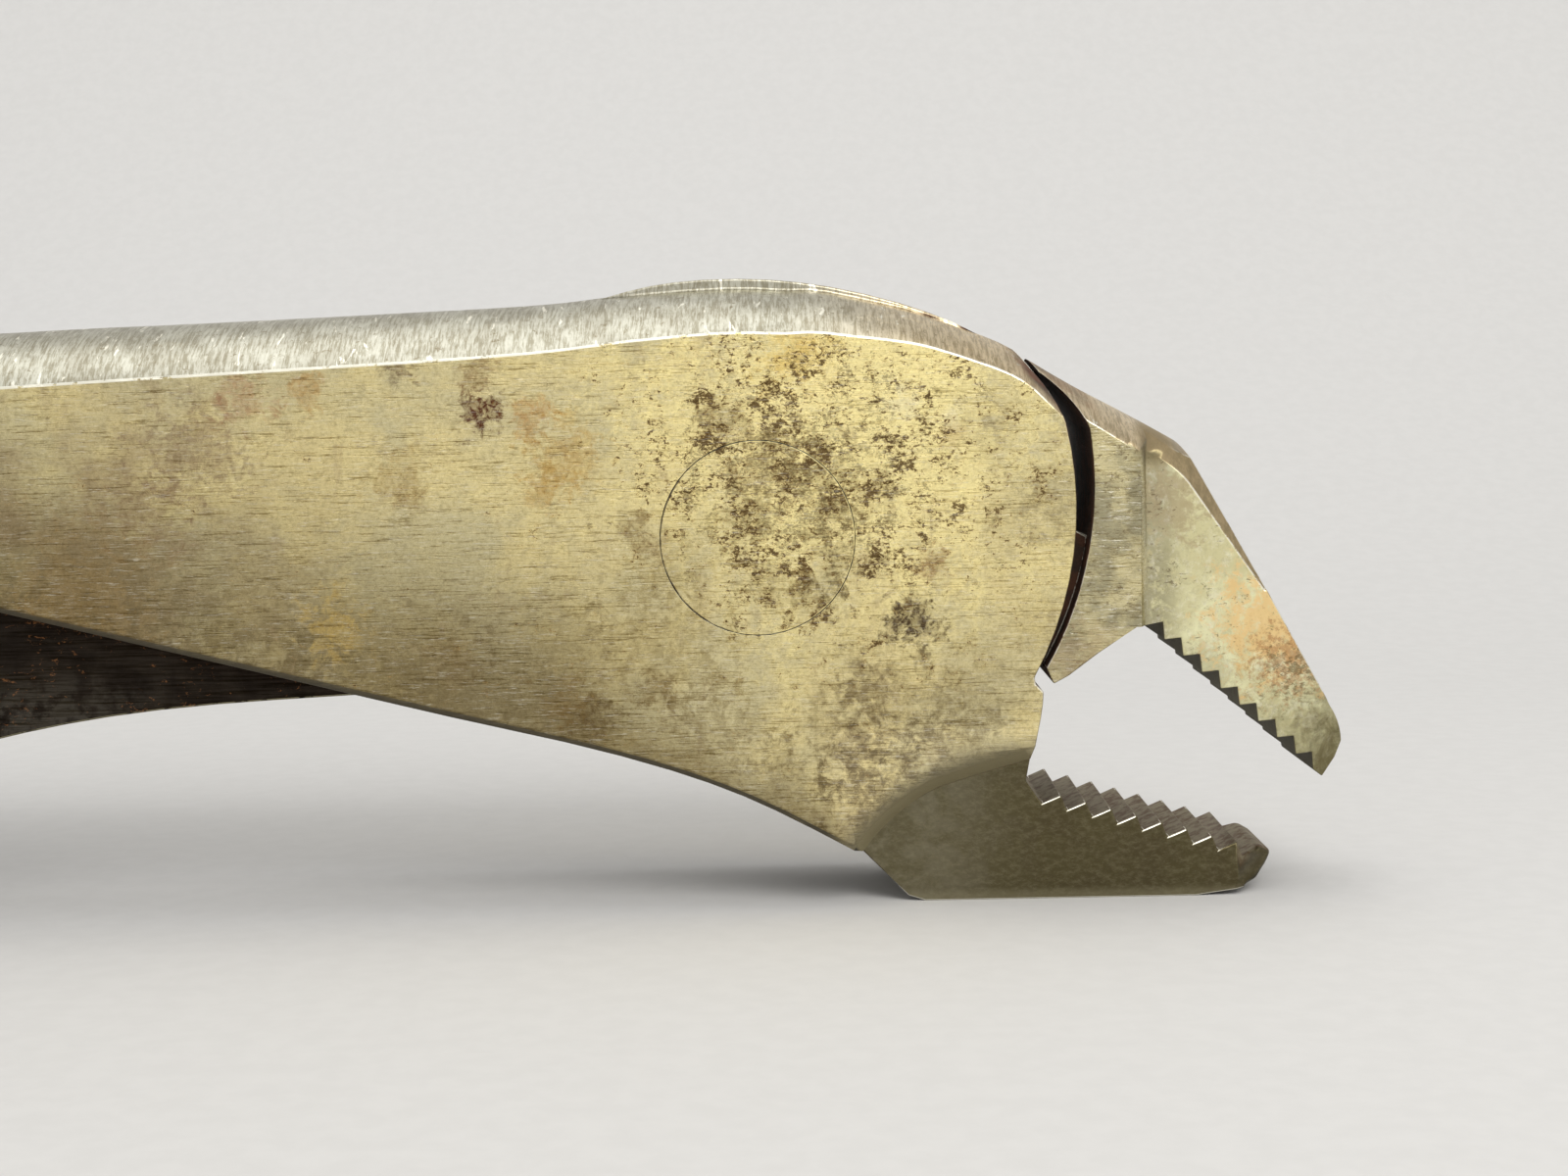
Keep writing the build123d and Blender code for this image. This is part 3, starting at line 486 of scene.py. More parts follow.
def side_steel(steel):
    """Colour, roughness and relief of the brushed sides of the head and the upper handle."""
    wobble = steel.clouds(0.9, 6, 0.75, 0.4)
    drips = steel.noise(steel.stretched(0.32, 0.2, 0.05), 4, 0.65)
    colour = steel.mix(steel.patches(0.4, 0.62, 0.12, 5, 0.65, 0.3), "olive", "gold")
    colour = steel.coat(colour, "gold", steel.within(drips, 0.44, 0.64), 0.16)
    # Painted highlight: a warm pool of lamp light above the pivot with a ragged rim; the brushed lines fade a
    # little under it.
    runny = steel.total(steel.product(drips, 0.3), steel.product(wobble, 0.7))
    glow = steel.near(5.5, 6.5, 20.0, 0.7, 1.4, runny)
    colour = steel.coat(colour, "bright_gold", glow, 0.95)
    film = steel.patches(0.36, 0.6, 0.16, 5, 0.65)
    low_down = steel.at_least(0.3, steel.at_height(9, 5))
    colour = steel.coat(colour, "brown", film, low_down, steel.along(-20, -46), 0.8)
    # Painted shade: the side darkens towards its lower edge and under the head.
    low_edge = steel.within(steel.above(*LOWER_EDGE), 15.5 * MM, -0.5 * MM)
    patchy = steel.at_least(0.7, steel.within(wobble, 0.38, 0.58))
    colour = steel.coat(colour, "low_brown", low_edge, steel.along(-2, -14), patchy, 0.88)
    rim_shade = steel.within(steel.above(*LOWER_RIM), 3.4 * MM, 0.2 * MM)
    colour = steel.coat(colour, "low_brown", rim_shade, steel.along(-16, -8), patchy, 0.6)
    smear = steel.streaks(0.56, 0.7, (0.4, 0.4, 0.22), 5, 0.7, 0.8)
    colour = steel.coat(colour, "brown", smear, 0.4)
    mottle = steel.at_least(0.5, steel.patches(0.43, 0.56, 2.2, 5, 0.75, 0.4))
    # Blots laid on in turn, some of them painted highlights.
    for x, z, radius, display, strength in BLOTS_AND_HIGHLIGHTS:
        blot = steel.near(x, z, radius * 1.2, 0.7, 2.2, wobble)
        colour = steel.coat(colour, paint(*display), blot, mottle, strength)

    core = steel.near(2.4, 3.2, 11.5, 0.6, 1.6, wobble)
    density = steel.largest(core, steel.product(steel.near(4.5, 6.5, 18.5, 0.6, 1.2, wobble), 0.8))
    halo = freckles(steel, 3.4, density, 0.49, 0.55)
    colour = steel.coat(colour, "amber", halo, 0.4)
    crackle = freckles(steel, 3.4, density, 0.53, 0.57)
    colour = steel.coat(colour, "freckle", crackle, 0.88)
    pits = freckles(steel, 5.5, steel.product(density, steel.at_least(0.5, core)), 0.5, 0.55)
    colour = steel.coat(colour, "freckle", pits, 0.55)
    lines = strokes(steel, 0.4, 9.0, 0.38, 0.5)
    grain = steel.patches(0.4, 0.56, 3.6, 6, 0.85)
    streak = steel.total(steel.product(lines, 0.7), steel.product(grain, 0.3))
    colour = brushed(steel, colour, streak, steel.inverse(steel.product(glow, 0.25)))
    grit = steel.streaks(0.52, 0.6, (1.4, 2.2, 2.6), 6, 0.85, 0.4)
    colour = steel.coat(colour, "low_brown", grit, 0.28)
    # Painted glints on short brushed lines.
    glint = steel.streaks(0.56, 0.66, (1.0, 1.0, 14.0), 4, 0.75)
    colour = steel.coat(colour, "glint", glint, 0.3)

    # A hairline ring round the flush pivot: painted shade on its back half, a painted highlight on its front
    # half.
    rim = steel.less(steel.from_pivot(0, 0), PIVOT_RIM)
    ring = steel.within(steel.size_of(rim), 0.09 * MM, 0.03 * MM)
    ring = steel.product(ring, steel.patches(0.42, 0.58, 0.4, 4, 0.7))
    ahead = steel.product(steel.less(steel.axis("X"), PIVOT.x), 40.0)
    pale = steel.within(steel.total(ahead, steel.clouds(0.5, 3, 0.6)), 0.42, 0.52)
    colour = steel.coat(colour, steel.mix(pale, "dark_rust", "bright_gold"), ring, 0.85)

    rough = steel.total(0.34, steel.product(crackle, 0.22), steel.product(steel.inverse(lines), 0.1))
    height = steel.less(steel.product(lines, 0.5), steel.product(crackle, 0.9))
    return colour, rough, height


def crown_steel(steel):
    """Colour and relief of the rounded back, ground across the tool."""
    across = steel.noise(steel.stretched(5.0, 0.35, 0.9), 5, 0.8, 0.3)
    scratch = steel.within(across, 0.4, 0.58)
    cloud = steel.patches(0.42, 0.62, 0.3, 5, 0.7, 0.4)
    colour = steel.coat("spine", "spine_shade", cloud, 0.5)
    # Painted shade along the crown's top.
    ridge = steel.off_middle(3.4 * MM, 0.6 * MM)
    colour = steel.coat(colour, "spine_shade", ridge, 0.5)
    forward = steel.along(1, 15)
    colour = steel.coat(colour, "spine_front", forward, 0.8)
    colour = brushed(steel, colour, scratch, 0.65)
    # Scratches across the crown, painted bright as glints.
    nick_glint = steel.streaks(0.64, 0.7, (1.6, 0.35, 0.5), 3, 0.6, 0.6)
    colour = steel.coat(colour, "glint", nick_glint, 0.8)
    spot = steel.patches(0.62, 0.68, 1.6, 4, 0.7)
    colour = steel.coat(colour, "low_brown", spot, 0.6)
    return colour, across


def on_crown(steel):
    """1 on the rounded back and its crest, and 0 on the flat sides."""
    slope = steel.product(steel.facing_side(0.93, 0.88), steel.facing_up(0.03, 0.12))
    narrow = steel.off_middle(CREST_HALF, CREST_HALF - 0.2 * MM)
    crest = steel.product(narrow, steel.at_height(CREST_BASE - 0.5, CREST_BASE + 0.5))
    return steel.largest(slope, crest)


def in_slit(steel):
    """1 on the walls that face each other across the slit behind the upper jaw."""
    inner = steel.product(steel.off_middle(SIDE - 1.85 * MM, SIDE - 2.1 * MM), steel.facing_up(0.4, 0.2))
    upright = steel.within(steel.size_of(steel.facing("X")), 0.35, 0.6)
    wall = steel.product(upright, steel.facing_side(0.5, 0.3))
    return steel.product(steel.largest(inner, wall), steel.at_height(14.4, 14.0), steel.along(9, 11))


def grime(steel):
    """The nearly black rust inside the slit."""
    return steel.mix(steel.patches(0.42, 0.58, 0.8, 4, 0.6), "dark_rust", "slit_rust")


def body_finish():
    """Tarnished sides and a grey crown, with painted shade by the bend and on faces turned down, a ramp over
    the lower jaw painted lighter than its shade, and rust in the slit.
    """
    steel = Finish("brushed_body")
    colour, rough, height = side_steel(steel)
    crown = on_crown(steel)
    back, across = crown_steel(steel)
    colour = steel.mix(crown, colour, back)
    # Painted shade: the side darkens softly towards the bend over the lower jaw.
    bend = steel.less(steel.from_pivot(*BEND_CENTRE), BEND_RADIUS)
    at_bend = steel.product(steel.along(4, 5.5), steel.at_height(-12, -13))
    shade = steel.product(at_bend, steel.within(bend, 2.6 * MM, 0.6 * MM))
    colour = steel.coat(colour, "jaw", shade, 0.75)
    # The ramp down to the lower jaw, painted lighter to lift the shade it falls into.
    ramp = steel.product(at_bend, steel.facing_side(0.25, 0.4))
    foot = steel.off_middle(SIDE - 0.1 * MM, SIDE - 0.8 * MM)
    colour = steel.coat(colour, "ramp", ramp, foot)
    # Painted shade on faces turned down.
    down = steel.product(steel.facing_side(0.86, 0.7), steel.facing_up(-0.1, -0.3), steel.inverse(ramp))
    colour = steel.coat(colour, "underside", down, 0.92)
    gap = in_slit(steel)
    colour = steel.mix(gap, colour, grime(steel))
    # Edges rubbed bright, kept to those that face up: worn steel and painted highlight both.
    worn = steel.product(
        steel.edge_mask(),
        steel.facing_up(-0.05, 0.1),
        steel.patches(0.38, 0.46, 0.9, 5, 0.75),
        steel.along(19.5, 17.5),
    )
    colour = steel.coat(colour, "burnished", worn, 0.85)
    dull = steel.largest(gap, down, steel.product(ramp, 0.5))
    rough = steel.total(rough, steel.product(dull, 0.4))
    metal = steel.inverse(steel.product(dull, 0.85))
    return steel.finish(colour, rough, steel.mix(crown, height, across), 0.008, metal)


def upper_jaw_finish():
    """A brushed root like the body's side, and a smoother nose with a rusty patch."""
    steel = Finish("upper_jaw_steel")
    wobble = steel.clouds(0.9, 6, 0.75, 0.4)
    lines = strokes(steel, 0.6, 8.0)
    root = steel.mix(steel.patches(0.38, 0.6, 0.3, 5, 0.65), "root", "olive")
    root = brushed(steel, root, lines)
    # Painted glints on short brushed lines.
    glint = steel.streaks(0.56, 0.66, (0.9, 1.0, 9.0), 4, 0.75)
    root = steel.coat(root, "glint", glint, 0.6)
    root = steel.coat(root, "freckle", freckles(steel, 2.6, 0.7), 0.6)
    grit = steel.streaks(0.5, 0.6, (1.4, 2.2, 3.0), 6, 0.85, 0.4)
    root = steel.coat(root, "low_brown", grit, 0.4)
    low = steel.near(21.0, -9.0, 3.6, 0.8, 1.6, wobble)
    root = steel.coat(root, "brown", low, 0.45)

    nose = steel.mix(steel.patches(0.38, 0.62, 0.3, 5, 0.65, 0.5), "nose", "nose_shade")
    step = steel.along(STEP + 2.8, STEP + 0.4)
    nose = steel.coat(nose, "root", step, steel.within(wobble, 0.36, 0.52), 0.8)
    # Painted sparkle of glints on the nose.
    pale = steel.patches(0.5, 0.64, 1.1, 6, 0.8, 0.3)
    nose = steel.coat(nose, "glint", pale, 0.3)
    grit = steel.patches(0.5, 0.6, 2.4, 6, 0.85, 0.3)
    nose = steel.coat(nose, "root", grit, 0.25)
    for x, z, radius, soft, ragged, tone, share in (
        (26.5, 2.0, 3.4, 0.8, 2.4, "brown", 0.6),
        (39.0, -17.5, 11.5, 0.9, 0.6, "nose_tip", 0.95),
        (29.0, -9.5, 3.0, 0.9, 1.5, "nose_tip", 0.35),
        (33.0, -6.2, 4.8, 0.8, 2.0, "pale_rust", 0.8),
    ):
        nose = steel.coat(nose, tone, steel.near(x, z, radius, soft, ragged, wobble), share)
    core = steel.near(34.2, -8.6, 2.8, 0.9, 3.0, steel.clouds(2.2, 6, 0.8))
    nose = steel.coat(nose, "rust", core, 0.6)
    scab = steel.product(steel.near(34.4, -9.6, 3.4, 0.7, 1.6, wobble), freckles(steel, 2.6, 1.1))
    nose = steel.coat(nose, "low_brown", scab, 0.7)
    nose = steel.coat(nose, "freckle", freckles(steel, 2.2, 0.45), 0.6)

    on_nose = steel.along(STEP - 0.9, STEP + 0.3)
    colour = steel.mix(on_nose, root, nose)
    crown = on_crown(steel)
    back, _ = crown_steel(steel)
    ahead = steel.along(STEP - 0.6, STEP + 0.4)
    scar = steel.streaks(0.4, 0.6, (2.5, 1.0, 1.2), 5, 0.8)
    scarred = steel.coat("nose_back", "nose_tip", scar, 0.4)
    back = steel.mix(ahead, back, scarred)
    colour = steel.mix(crown, colour, back)
    slant = steel.product(steel.facing_side(0.95, 0.85), on_nose, steel.facing_up(0.05, 0.2))
    colour = steel.coat(colour, scarred, slant, 0.85)
    # Painted shade on the shoulder above the step, hiding a lamp's reflection there.
    shoulder = steel.near(25.6, 5.4, 1.9, 0.6)
    colour = steel.coat(colour, "low_brown", shoulder, 0.75)
    # Painted shade on the teeth's flanks, which face down.
    flank = steel.product(steel.facing_side(0.5, 0.3), steel.facing_up(0.05, -0.1))
    colour = steel.coat(colour, "underside", flank, 0.9)
    gap = steel.product(in_slit(steel), steel.along(22.4, 21.6))
    colour = steel.mix(gap, colour, grime(steel))
    # Edges rubbed bright where they face up: worn steel and painted highlight both.
    bright = steel.product(
        steel.edge_mask(),
        steel.facing_up(0.05, 0.25),
        steel.patches(0.4, 0.5, 0.9, 5, 0.75),
        steel.largest(steel.along(26.5, 28), steel.along(STEP, STEP - 1)),
    )
    colour = steel.coat(colour, "burnished", bright, 0.7)
    dull = steel.largest(gap, flank, steel.product(shoulder, steel.largest(slant, crown), 0.7))
    rough = steel.total(0.36, steel.product(dull, 0.4))
    metal = steel.inverse(steel.product(dull, 0.85))
    height = steel.mix(on_nose, lines, steel.product(wobble, 1.5))
    return steel.finish(colour, rough, height, 0.008, metal)


def lower_jaw_finish():
    """Dark olive steel, partly a painted dark reflection, with brown teeth, a painted highlight strip along
    the sole, painted shade on faces turned down and painted glints on the teeth.
    """
    steel = Finish("lower_jaw_steel")
    # The dark olive is partly a painted dark reflection.
    forward = steel.along(9, 19)
    colour = steel.coat("jaw", "jaw_front", forward, 0.85)
    clouds = steel.patches(0.4, 0.62, 0.35, 5, 0.65, 0.5)
    colour = steel.coat(colour, "jaw_shade", clouds, 0.6)
    # Painted highlight: a paler strip along the sole.
    strip = steel.within(steel.axis("Z"), 0.9 * MM, 0.2 * MM)
    colour = steel.coat(colour, "root", strip, 0.3)
    fine = steel.noise(steel.stretched(1.5, 2.0, 2.8, 0.6), 6, 0.8)
    colour = steel.coat(colour, "root", steel.within(fine, 0.42, 0.66), 0.2)
    flat = steel.facing_side(0.6, 0.4)
    up = steel.product(flat, steel.facing_up(0.1, 0.3))
    rust = steel.mix(steel.patches(0.42, 0.64, 1.1, 5, 0.7), "tooth", "tooth_rust")
    colour = steel.coat(colour, rust, up, 0.95)
    # Painted shade on faces turned down.
    down = steel.product(flat, steel.facing_up(-0.2, -0.5))
    colour = steel.coat(colour, "underside", down, 0.7)
    edge = steel.edge_mask()
    # Painted glints on the tooth edges that face up and towards the rear.
    toothed = steel.product(
        steel.along(17.3, 18.2),
        steel.within(steel.facing("X"), 0.02, -0.08),
        steel.facing_up(0.1, 0.25),
        steel.off_middle(JAW_SIDE - 1.2 * MM, JAW_SIDE - 0.9 * MM),
    )
    colour = steel.coat(colour, "glint", edge, toothed, 0.95)
    # Painted highlight on the sole's edges, which face down.
    sole = steel.product(edge, steel.facing_up(-0.2, -0.4), steel.facing_side(0.2, 0.4))
    colour = steel.coat(colour, "burnished", sole, 0.8)
    rough = steel.total(0.38, steel.product(up, 0.2))
    return steel.finish(colour, rough, fine, 0.01)


def dull_finish(name, display, wear=0.5, rust=0.25, rough=0.4, grain=(0.12, 4.0, 4.0)):
    """Plain steel with fine drawn or ground lines, blotches, a little rust and worn edges."""
    steel = Finish(name)
    tone = paint(*display)
    darker = tuple(value * 0.62 for value in tone)
    blotch = steel.patches(0.34, 0.68, 0.28, 5, 0.62, 0.4)
    colour = steel.mix(blotch, tone, darker)
    rusty = steel.patches(0.58, 0.72, 0.9, 5, 0.7, 0.5)
    colour = steel.coat(colour, "rust", rusty, rust)
    specks = freckles(steel, 2.4, 0.3)
    colour = steel.coat(colour, "dark_rust", specks, 0.5)
    lines = steel.streaks(0.32, 0.68, grain, 4, 0.7)
    shade = steel.mix(lines, paint(186, 182, 174), paint(255, 255, 255))
    colour = steel.mix(1.0, colour, shade, "MULTIPLY")
    scuffs = steel.patches(0.3, 0.5, 0.8, 4, 0.7)
    colour = steel.coat(colour, "burnished", steel.edge_mask(), scuffs, wear)
    roughness = steel.total(rough, steel.product(steel.total(blotch, specks), 0.1))
    height = steel.less(lines, steel.product(specks, 0.5))
    return steel.finish(colour, roughness, height, 0.014)


def handle_finish():
    """Dark steel, with the painted red-brown shadow that the body casts along its top and painted light along
    the belly.
    """
    steel = Finish("handle_steel")
    tone = steel.mix(steel.patches(0.36, 0.64, 0.28, 5, 0.62, 0.4), paint(50, 44, 38), paint(36, 31, 27))
    # Painted shadow of the body along the handle's top.
    body_shadow = steel.within(steel.above(-30, -7.6, LOWER_EDGE[2]), -2.6 * MM, 0.6 * MM)
    tone = steel.coat(tone, "handle_red", body_shadow, 0.8)
    # Painted light along the belly, where the floor lights it.
    belly = steel.product(steel.within(steel.above(-40, -10.8, 0.0), 3.6 * MM, 0.0), steel.along(-36, -46))
    tone = steel.coat(tone, "handle_grey", belly, steel.patches(0.4, 0.56, 0.5, 5, 0.7), 0.5)
    lines = steel.streaks(0.34, 0.62, (0.2, 1.0, 6.0), 5, 0.75)
    tone = brushed(steel, tone, lines)
    specks = freckles(steel, 2.4, 0.4)
    tone = steel.coat(tone, "rust", specks, 0.4)
    scuffs = steel.patches(0.36, 0.5, 0.8, 4, 0.7)
    tone = steel.coat(tone, "root", steel.edge_mask(), scuffs, 0.6)
    rough = steel.total(0.4, steel.product(specks, 0.15))
    return steel.finish(tone, rough, steel.less(lines, steel.product(specks, 0.5)), 0.012)


# ---- shared mesh work ----
def add_object(name, data):
    thing = bpy.data.objects.new(name, data)
    bpy.context.scene.collection.objects.link(thing)
    return thing


def smooth_mesh(name, bm):
    """A smoothly shaded mesh made of a bmesh, which is freed."""
    mesh = bpy.data.meshes.new(name)
    bm.to_mesh(mesh)
    bm.free()
    mesh.polygons.foreach_set("use_smooth", [True] * len(mesh.polygons))
    return mesh


def draw_out(bm, edges, run):
    """Extrudes edges as far as a run."""
    grown = bmesh.ops.extrude_edge_only(bm, edges=edges)["geom"]
    far = [item for item in grown if isinstance(item, bmesh.types.BMVert)]
    bmesh.ops.translate(bm, vec=run, verts=far)


def give_mesh(name, bm, material, body, replaced, sharp_from):
    """Makes an object of a bmesh in a node's stead, and hides the node.

    Edges that turn by more than sharp_from degrees are shaded sharp. A piece with no body rides on nothing.
    """
    mesh = smooth_mesh(name, bm)
    mesh.set_sharp_from_angle(angle=math.radians(sharp_from))
    mesh.materials.append(material)
    piece = add_object(name, mesh)
    if body:
        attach(piece, body)
    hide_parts(replaced)
    return piece


def body_of(node):
    groups = frame["record"]["behaviour"]["bodies"]
    return next(body for body, nodes in groups.items() if node in nodes)


def side_place(place):
    """A place in the side view, in mm from the pivot."""
    offset = (place - PIVOT) / MM
    return offset.x, offset.z


def worn_copy(node, material, width, rounding=None, sharp=28.0, rides=True, weld=WELD):
    """A copy of a node's solid with its edges rounded off and marked with burnish.

    Where rounding gives a width for an edge, that edge gets it and isn't marked; 0 keeps the edge sharp.
    Corners closer than weld are joined first, so that no edge is shorter than its rounding.
    """
    bm = bmesh.new()
    bm.from_mesh(frame["nodes"][node].data)
    bmesh.ops.remove_doubles(bm, verts=bm.verts, dist=weld)
    bmesh.ops.dissolve_limit(bm, angle_limit=FLAT, verts=bm.verts, edges=bm.edges)
    layer = bm.faces.layers.float.new("burnish")
    limit = math.radians(sharp)
    groups = {}
    for edge in bm.edges:
        if len(edge.link_faces) == 2 and edge.calc_face_angle(0) > limit:
            own = rounding((edge.verts[0].co + edge.verts[1].co) / 2) if rounding else None
            if own != 0:
                groups.setdefault(own, []).append(edge)
    for own in sorted(groups, key=lambda wide: wide or 0):
        made = bmesh.ops.bevel(
            bm,
            geom=[edge for edge in groups[own] if edge.is_valid],
            offset=own or width,
            offset_type="OFFSET",
            segments=4 if own else 2,
            profile=0.5,
            affect="EDGES",
            clamp_overlap=False,
            material=-1,
        )
        for face in made["faces"]:
            face[layer] = 0.0 if own else 1.0
    bmesh.ops.remove_doubles(bm, verts=bm.verts, dist=WELD)
    bmesh.ops.recalc_face_normals(bm, faces=bm.faces)
    body = body_of(node) if rides else None
    piece = give_mesh(node + "_worn", bm, material, body, node, sharp_from=52)
    weighted = piece.modifiers.new("even_shading", "WEIGHTED_NORMAL")
    weighted.weight = 90
    weighted.keep_sharp = True
    return piece


# ---- operators ----
class PLIERS_OT_body(bpy.types.Operator):
    """Builds the upper handle and its head, with the flush pivot"""

    bl_idname = "pliers.body"
    bl_label = "Upper handle and pivot"

    def execute(self, context):
        size = sizes()
        finish = body_finish()

        def rounding(place):
            x, z = side_place(place)
            off_middle = abs(place.y)
            if math.hypot(x, z) * MM < PIVOT_RIM + 0.4 * MM:
                return size.flush_edge
            if x > RAMP_CORNER[0] and z < RAMP_CORNER[1] and off_middle > JAW_SIDE - NEAR * MM:
                return size.ramp_edge if off_middle > SIDE - NEAR * MM else 0.0
            if z > CREST_BASE and off_middle < CREST_HALF:
                return 0.0 if CREST_FRONT[0] < x < CREST_FRONT[1] else size.crest_edge
            return None

        worn_copy("body_shell", finish, size.edge, rounding, sharp=24)
        for node in ("pivot_pin", "pivot_pin_cap"):
            worn_copy(node, finish, size.flush_edge, lambda place: size.flush_edge)
        return {"FINISHED"}


class PLIERS_OT_jaws(bpy.types.Operator):
    """Builds the upper and the lower jaw with their teeth"""

    bl_idname = "pliers.jaws"
    bl_label = "Jaws"

    def execute(self, context):
        size = sizes()

        def upper_rounding(place):
            x, z = side_place(place)
            by_step = STEP - 1.4 < x < STEP + 1.0 and z > -5.5
            by_root_corner = STEP - 1.3 < x < STEP + 0.3 and -6.6 < z < -6.0
            if by_step or by_root_corner:
                return 0.0
            return size.nose_edge if x > NOSE_TIP else None

        def lower_rounding(place):
            x, z = side_place(place)
            from_bend = math.hypot(x - BEND_CENTRE[0], z - BEND_CENTRE[1]) * MM - BEND_RADIUS
            if x > RAMP_CORNER[0] - 0.6 and abs(from_bend) < 0.3 * MM:
                return 0.0
            return size.toe_edge if x > TOE[0] and z < TOE[1] else None

        upper, lower = upper_jaw_finish(), lower_jaw_finish()
        worn_copy("upper_jaw", upper, size.fine_edge, upper_rounding, sharp=20, weld=0.14 * MM)
        worn_copy("fixed_jaw", lower, size.jaw_edge, lower_rounding, sharp=20, weld=0.07 * MM)
        return {"FINISHED"}


class PLIERS_OT_handle(bpy.types.Operator):
    """Builds the lower handle, the release lever and their pins"""

    bl_idname = "pliers.handle"
    bl_label = "Lower handle and lever"

    def execute(self, context):
        size = sizes()

        def rounding(place):
            """Keeps the thin front edge sharp, which slopes up from the foot."""
            x, z = side_place(place)
            along, up = x - HANDLE_FOOT[0], z - HANDLE_FOOT[1]
            on_front = -NEAR < along < HANDLE_REACH and abs(up - HANDLE_SLOPE * along) < NEAR
            return 0.0 if on_front else None

        worn_copy("lower_handle", handle_finish(), size.edge, rounding)
        worn_copy("release_lever", dull_finish("lever_steel", (128, 120, 104), rust=0.2), size.edge)
        finish = dull_finish("pin_steel", (168, 160, 142), wear=0.4, rust=0.3, rough=0.36, grain=(3, 0.4, 3))
        pins = ("handle_pin", "link_pin", "release_lever_pin", "spring_anchor_pin", "spring_post")
        rivets = ("lever_spring_rivet", "screw_nut_rivets", "link_rivets", "knob_pin")
        for node in pins + rivets:
            worn_copy(node, finish, size.fine_edge)
        return {"FINISHED"}


class PLIERS_OT_link(bpy.types.Operator):
    """Builds the toggle link"""

    bl_idname = "pliers.link"
    bl_label = "Toggle link"

    def execute(self, context):
        finish = dull_finish("link_steel", (140, 134, 120))
        for node in ("link_plate_left", "link_plate_right", "link_spacer", "thrust_block"):
            worn_copy(node, finish, sizes().fine_edge)
        return {"FINISHED"}


def sweep_ring(bm, centre, out, forward, radius):
    """A ring of wire, ready to be swept: its centre, and the two directions it lies in."""
    ring = bmesh.ops.create_circle(bm, segments=12, radius=radius)["verts"]
    turn = Matrix((out, forward, out.cross(forward))).transposed().to_4x4()
    bmesh.ops.transform(bm, matrix=Matrix.Translation(centre) @ turn, verts=ring)
    return ring


def ring_edges(ring):
    return list(dict.fromkeys(edge for vertex in ring for edge in vertex.link_edges))


def wound_wire(bm, ring, centre, axis, turns, steps, rise=0.0):
    """Sweeps a ring round an axis, and on along the axis by the whole rise."""
    bmesh.ops.spin(
        bm,
        geom=ring + ring_edges(ring),
        cent=centre,
        axis=axis,
        dvec=axis * (rise / steps),
        angle=2 * math.pi * turns,
        steps=steps,
    )


def straight_wire(bm, start, run, out, radius):
    """A straight piece of wire from a place, as far as run; out is any direction across it."""
    draw_out(bm, ring_edges(sweep_ring(bm, start, out, ACROSS, radius)), run)


class PLIERS_OT_springs(bpy.types.Operator):
    """Winds the return spring between the jaw and the handle, and rounds the edges of the lever's leaf and
    the screw's ring
    """

    bl_idname = "pliers.springs"
    bl_label = "Springs"

    def execute(self, context):
        size = sizes()
        finish = dull_finish("spring_steel", (150, 146, 136), wear=0.2, rust=0.3, rough=0.34, grain=(1, 1, 1))
        post, anchor = middle("spring_post"), middle("spring_anchor_pin")
        line = (anchor - post).normalized()
        up = ACROSS.cross(line).normalized()
        coil_start = ((anchor - post).length - size.coil_length) / 2
        first = post + line * coil_start
        turns = round(size.coil_length / (2.1 * size.wire))
        bm = bmesh.new()
        ring = sweep_ring(bm, first + up * size.coil, up, line, size.wire)
        wound_wire(bm, ring, first, line, turns, 20 * turns, size.coil_length)
        for pin, place, inward in (("spring_post", post, line), ("spring_anchor_pin", anchor, -line)):
            loop = length_of(pin) / 2 + size.wire + 0.05 * MM
            hook = sweep_ring(bm, place + inward * loop, inward, up, size.wire)
            wound_wire(bm, hook, place, ACROSS, 330 / 360, 28)
            shank_start = place + inward * (loop - size.wire / 2)
            shank_end = place + inward * (coil_start + size.wire)
            straight_wire(bm, shank_start, shank_end - shank_start, up, size.wire)
            straight_wire(bm, shank_end - up * size.wire * 0.2, up * size.coil, line, size.wire)
        bmesh.ops.holes_fill(bm, edges=[edge for edge in bm.edges if edge.is_boundary], sides=0)
        bmesh.ops.recalc_face_normals(bm, faces=bm.faces)
        spring = give_mesh(
            "return_spring_wound", bm, finish, None, "return_spring", sharp_from=50
        )
        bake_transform(spring)
        leaf = worn_copy("lever_spring", finish, size.fine_edge, rides=False)
        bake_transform(leaf)
        worn_copy("screw_retaining_ring", finish, size.fine_edge)
        return {"FINISHED"}


def screw_ends():
    """The middles of the adjusting screw's tip and rear end."""
    places = [vertex.co for vertex in frame["nodes"]["adjusting_screw"].data.vertices]
    low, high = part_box("adjusting_screw")
    ends = []
    for wall in (high.x, low.x):
        rim = [place for place in places if abs(place.x - wall) < 0.25 * MM]
        ends.append(sum(rim, Vector()) / len(rim))
    return ends


def turned(bm, profile, turns=1, rise=0.0, steps=32):
    """Spins (radius, place) points about Z; a rise per turn makes the surface climb like a thread."""
    points = [bm.verts.new((radius, 0, place)) for radius, place in profile]
    chain = [bm.edges.new(pair) for pair in zip(points, points[1:])]
    bmesh.ops.spin(
        bm,
        geom=points + chain,
        axis=(0, 0, 1),
        cent=(0, 0, 0),
        dvec=(0, 0, rise / steps),
        angle=2 * math.pi * turns,
        steps=round(steps * turns),
        use_merge=not rise,
    )


def cut_off(bm, place, way):
    """Cuts away what lies past a place on Z, up or down by way, and closes the cut."""
    everything = bm.verts[:] + bm.edges[:] + bm.faces[:]
    cut = bmesh.ops.bisect_plane(
        bm, geom=everything, plane_co=(0, 0, place), plane_no=(0, 0, way), clear_outer=True
    )
    rim = [item for item in cut["geom_cut"] if isinstance(item, bmesh.types.BMEdge)]
    bmesh.ops.edgenet_fill(bm, edges=rim)


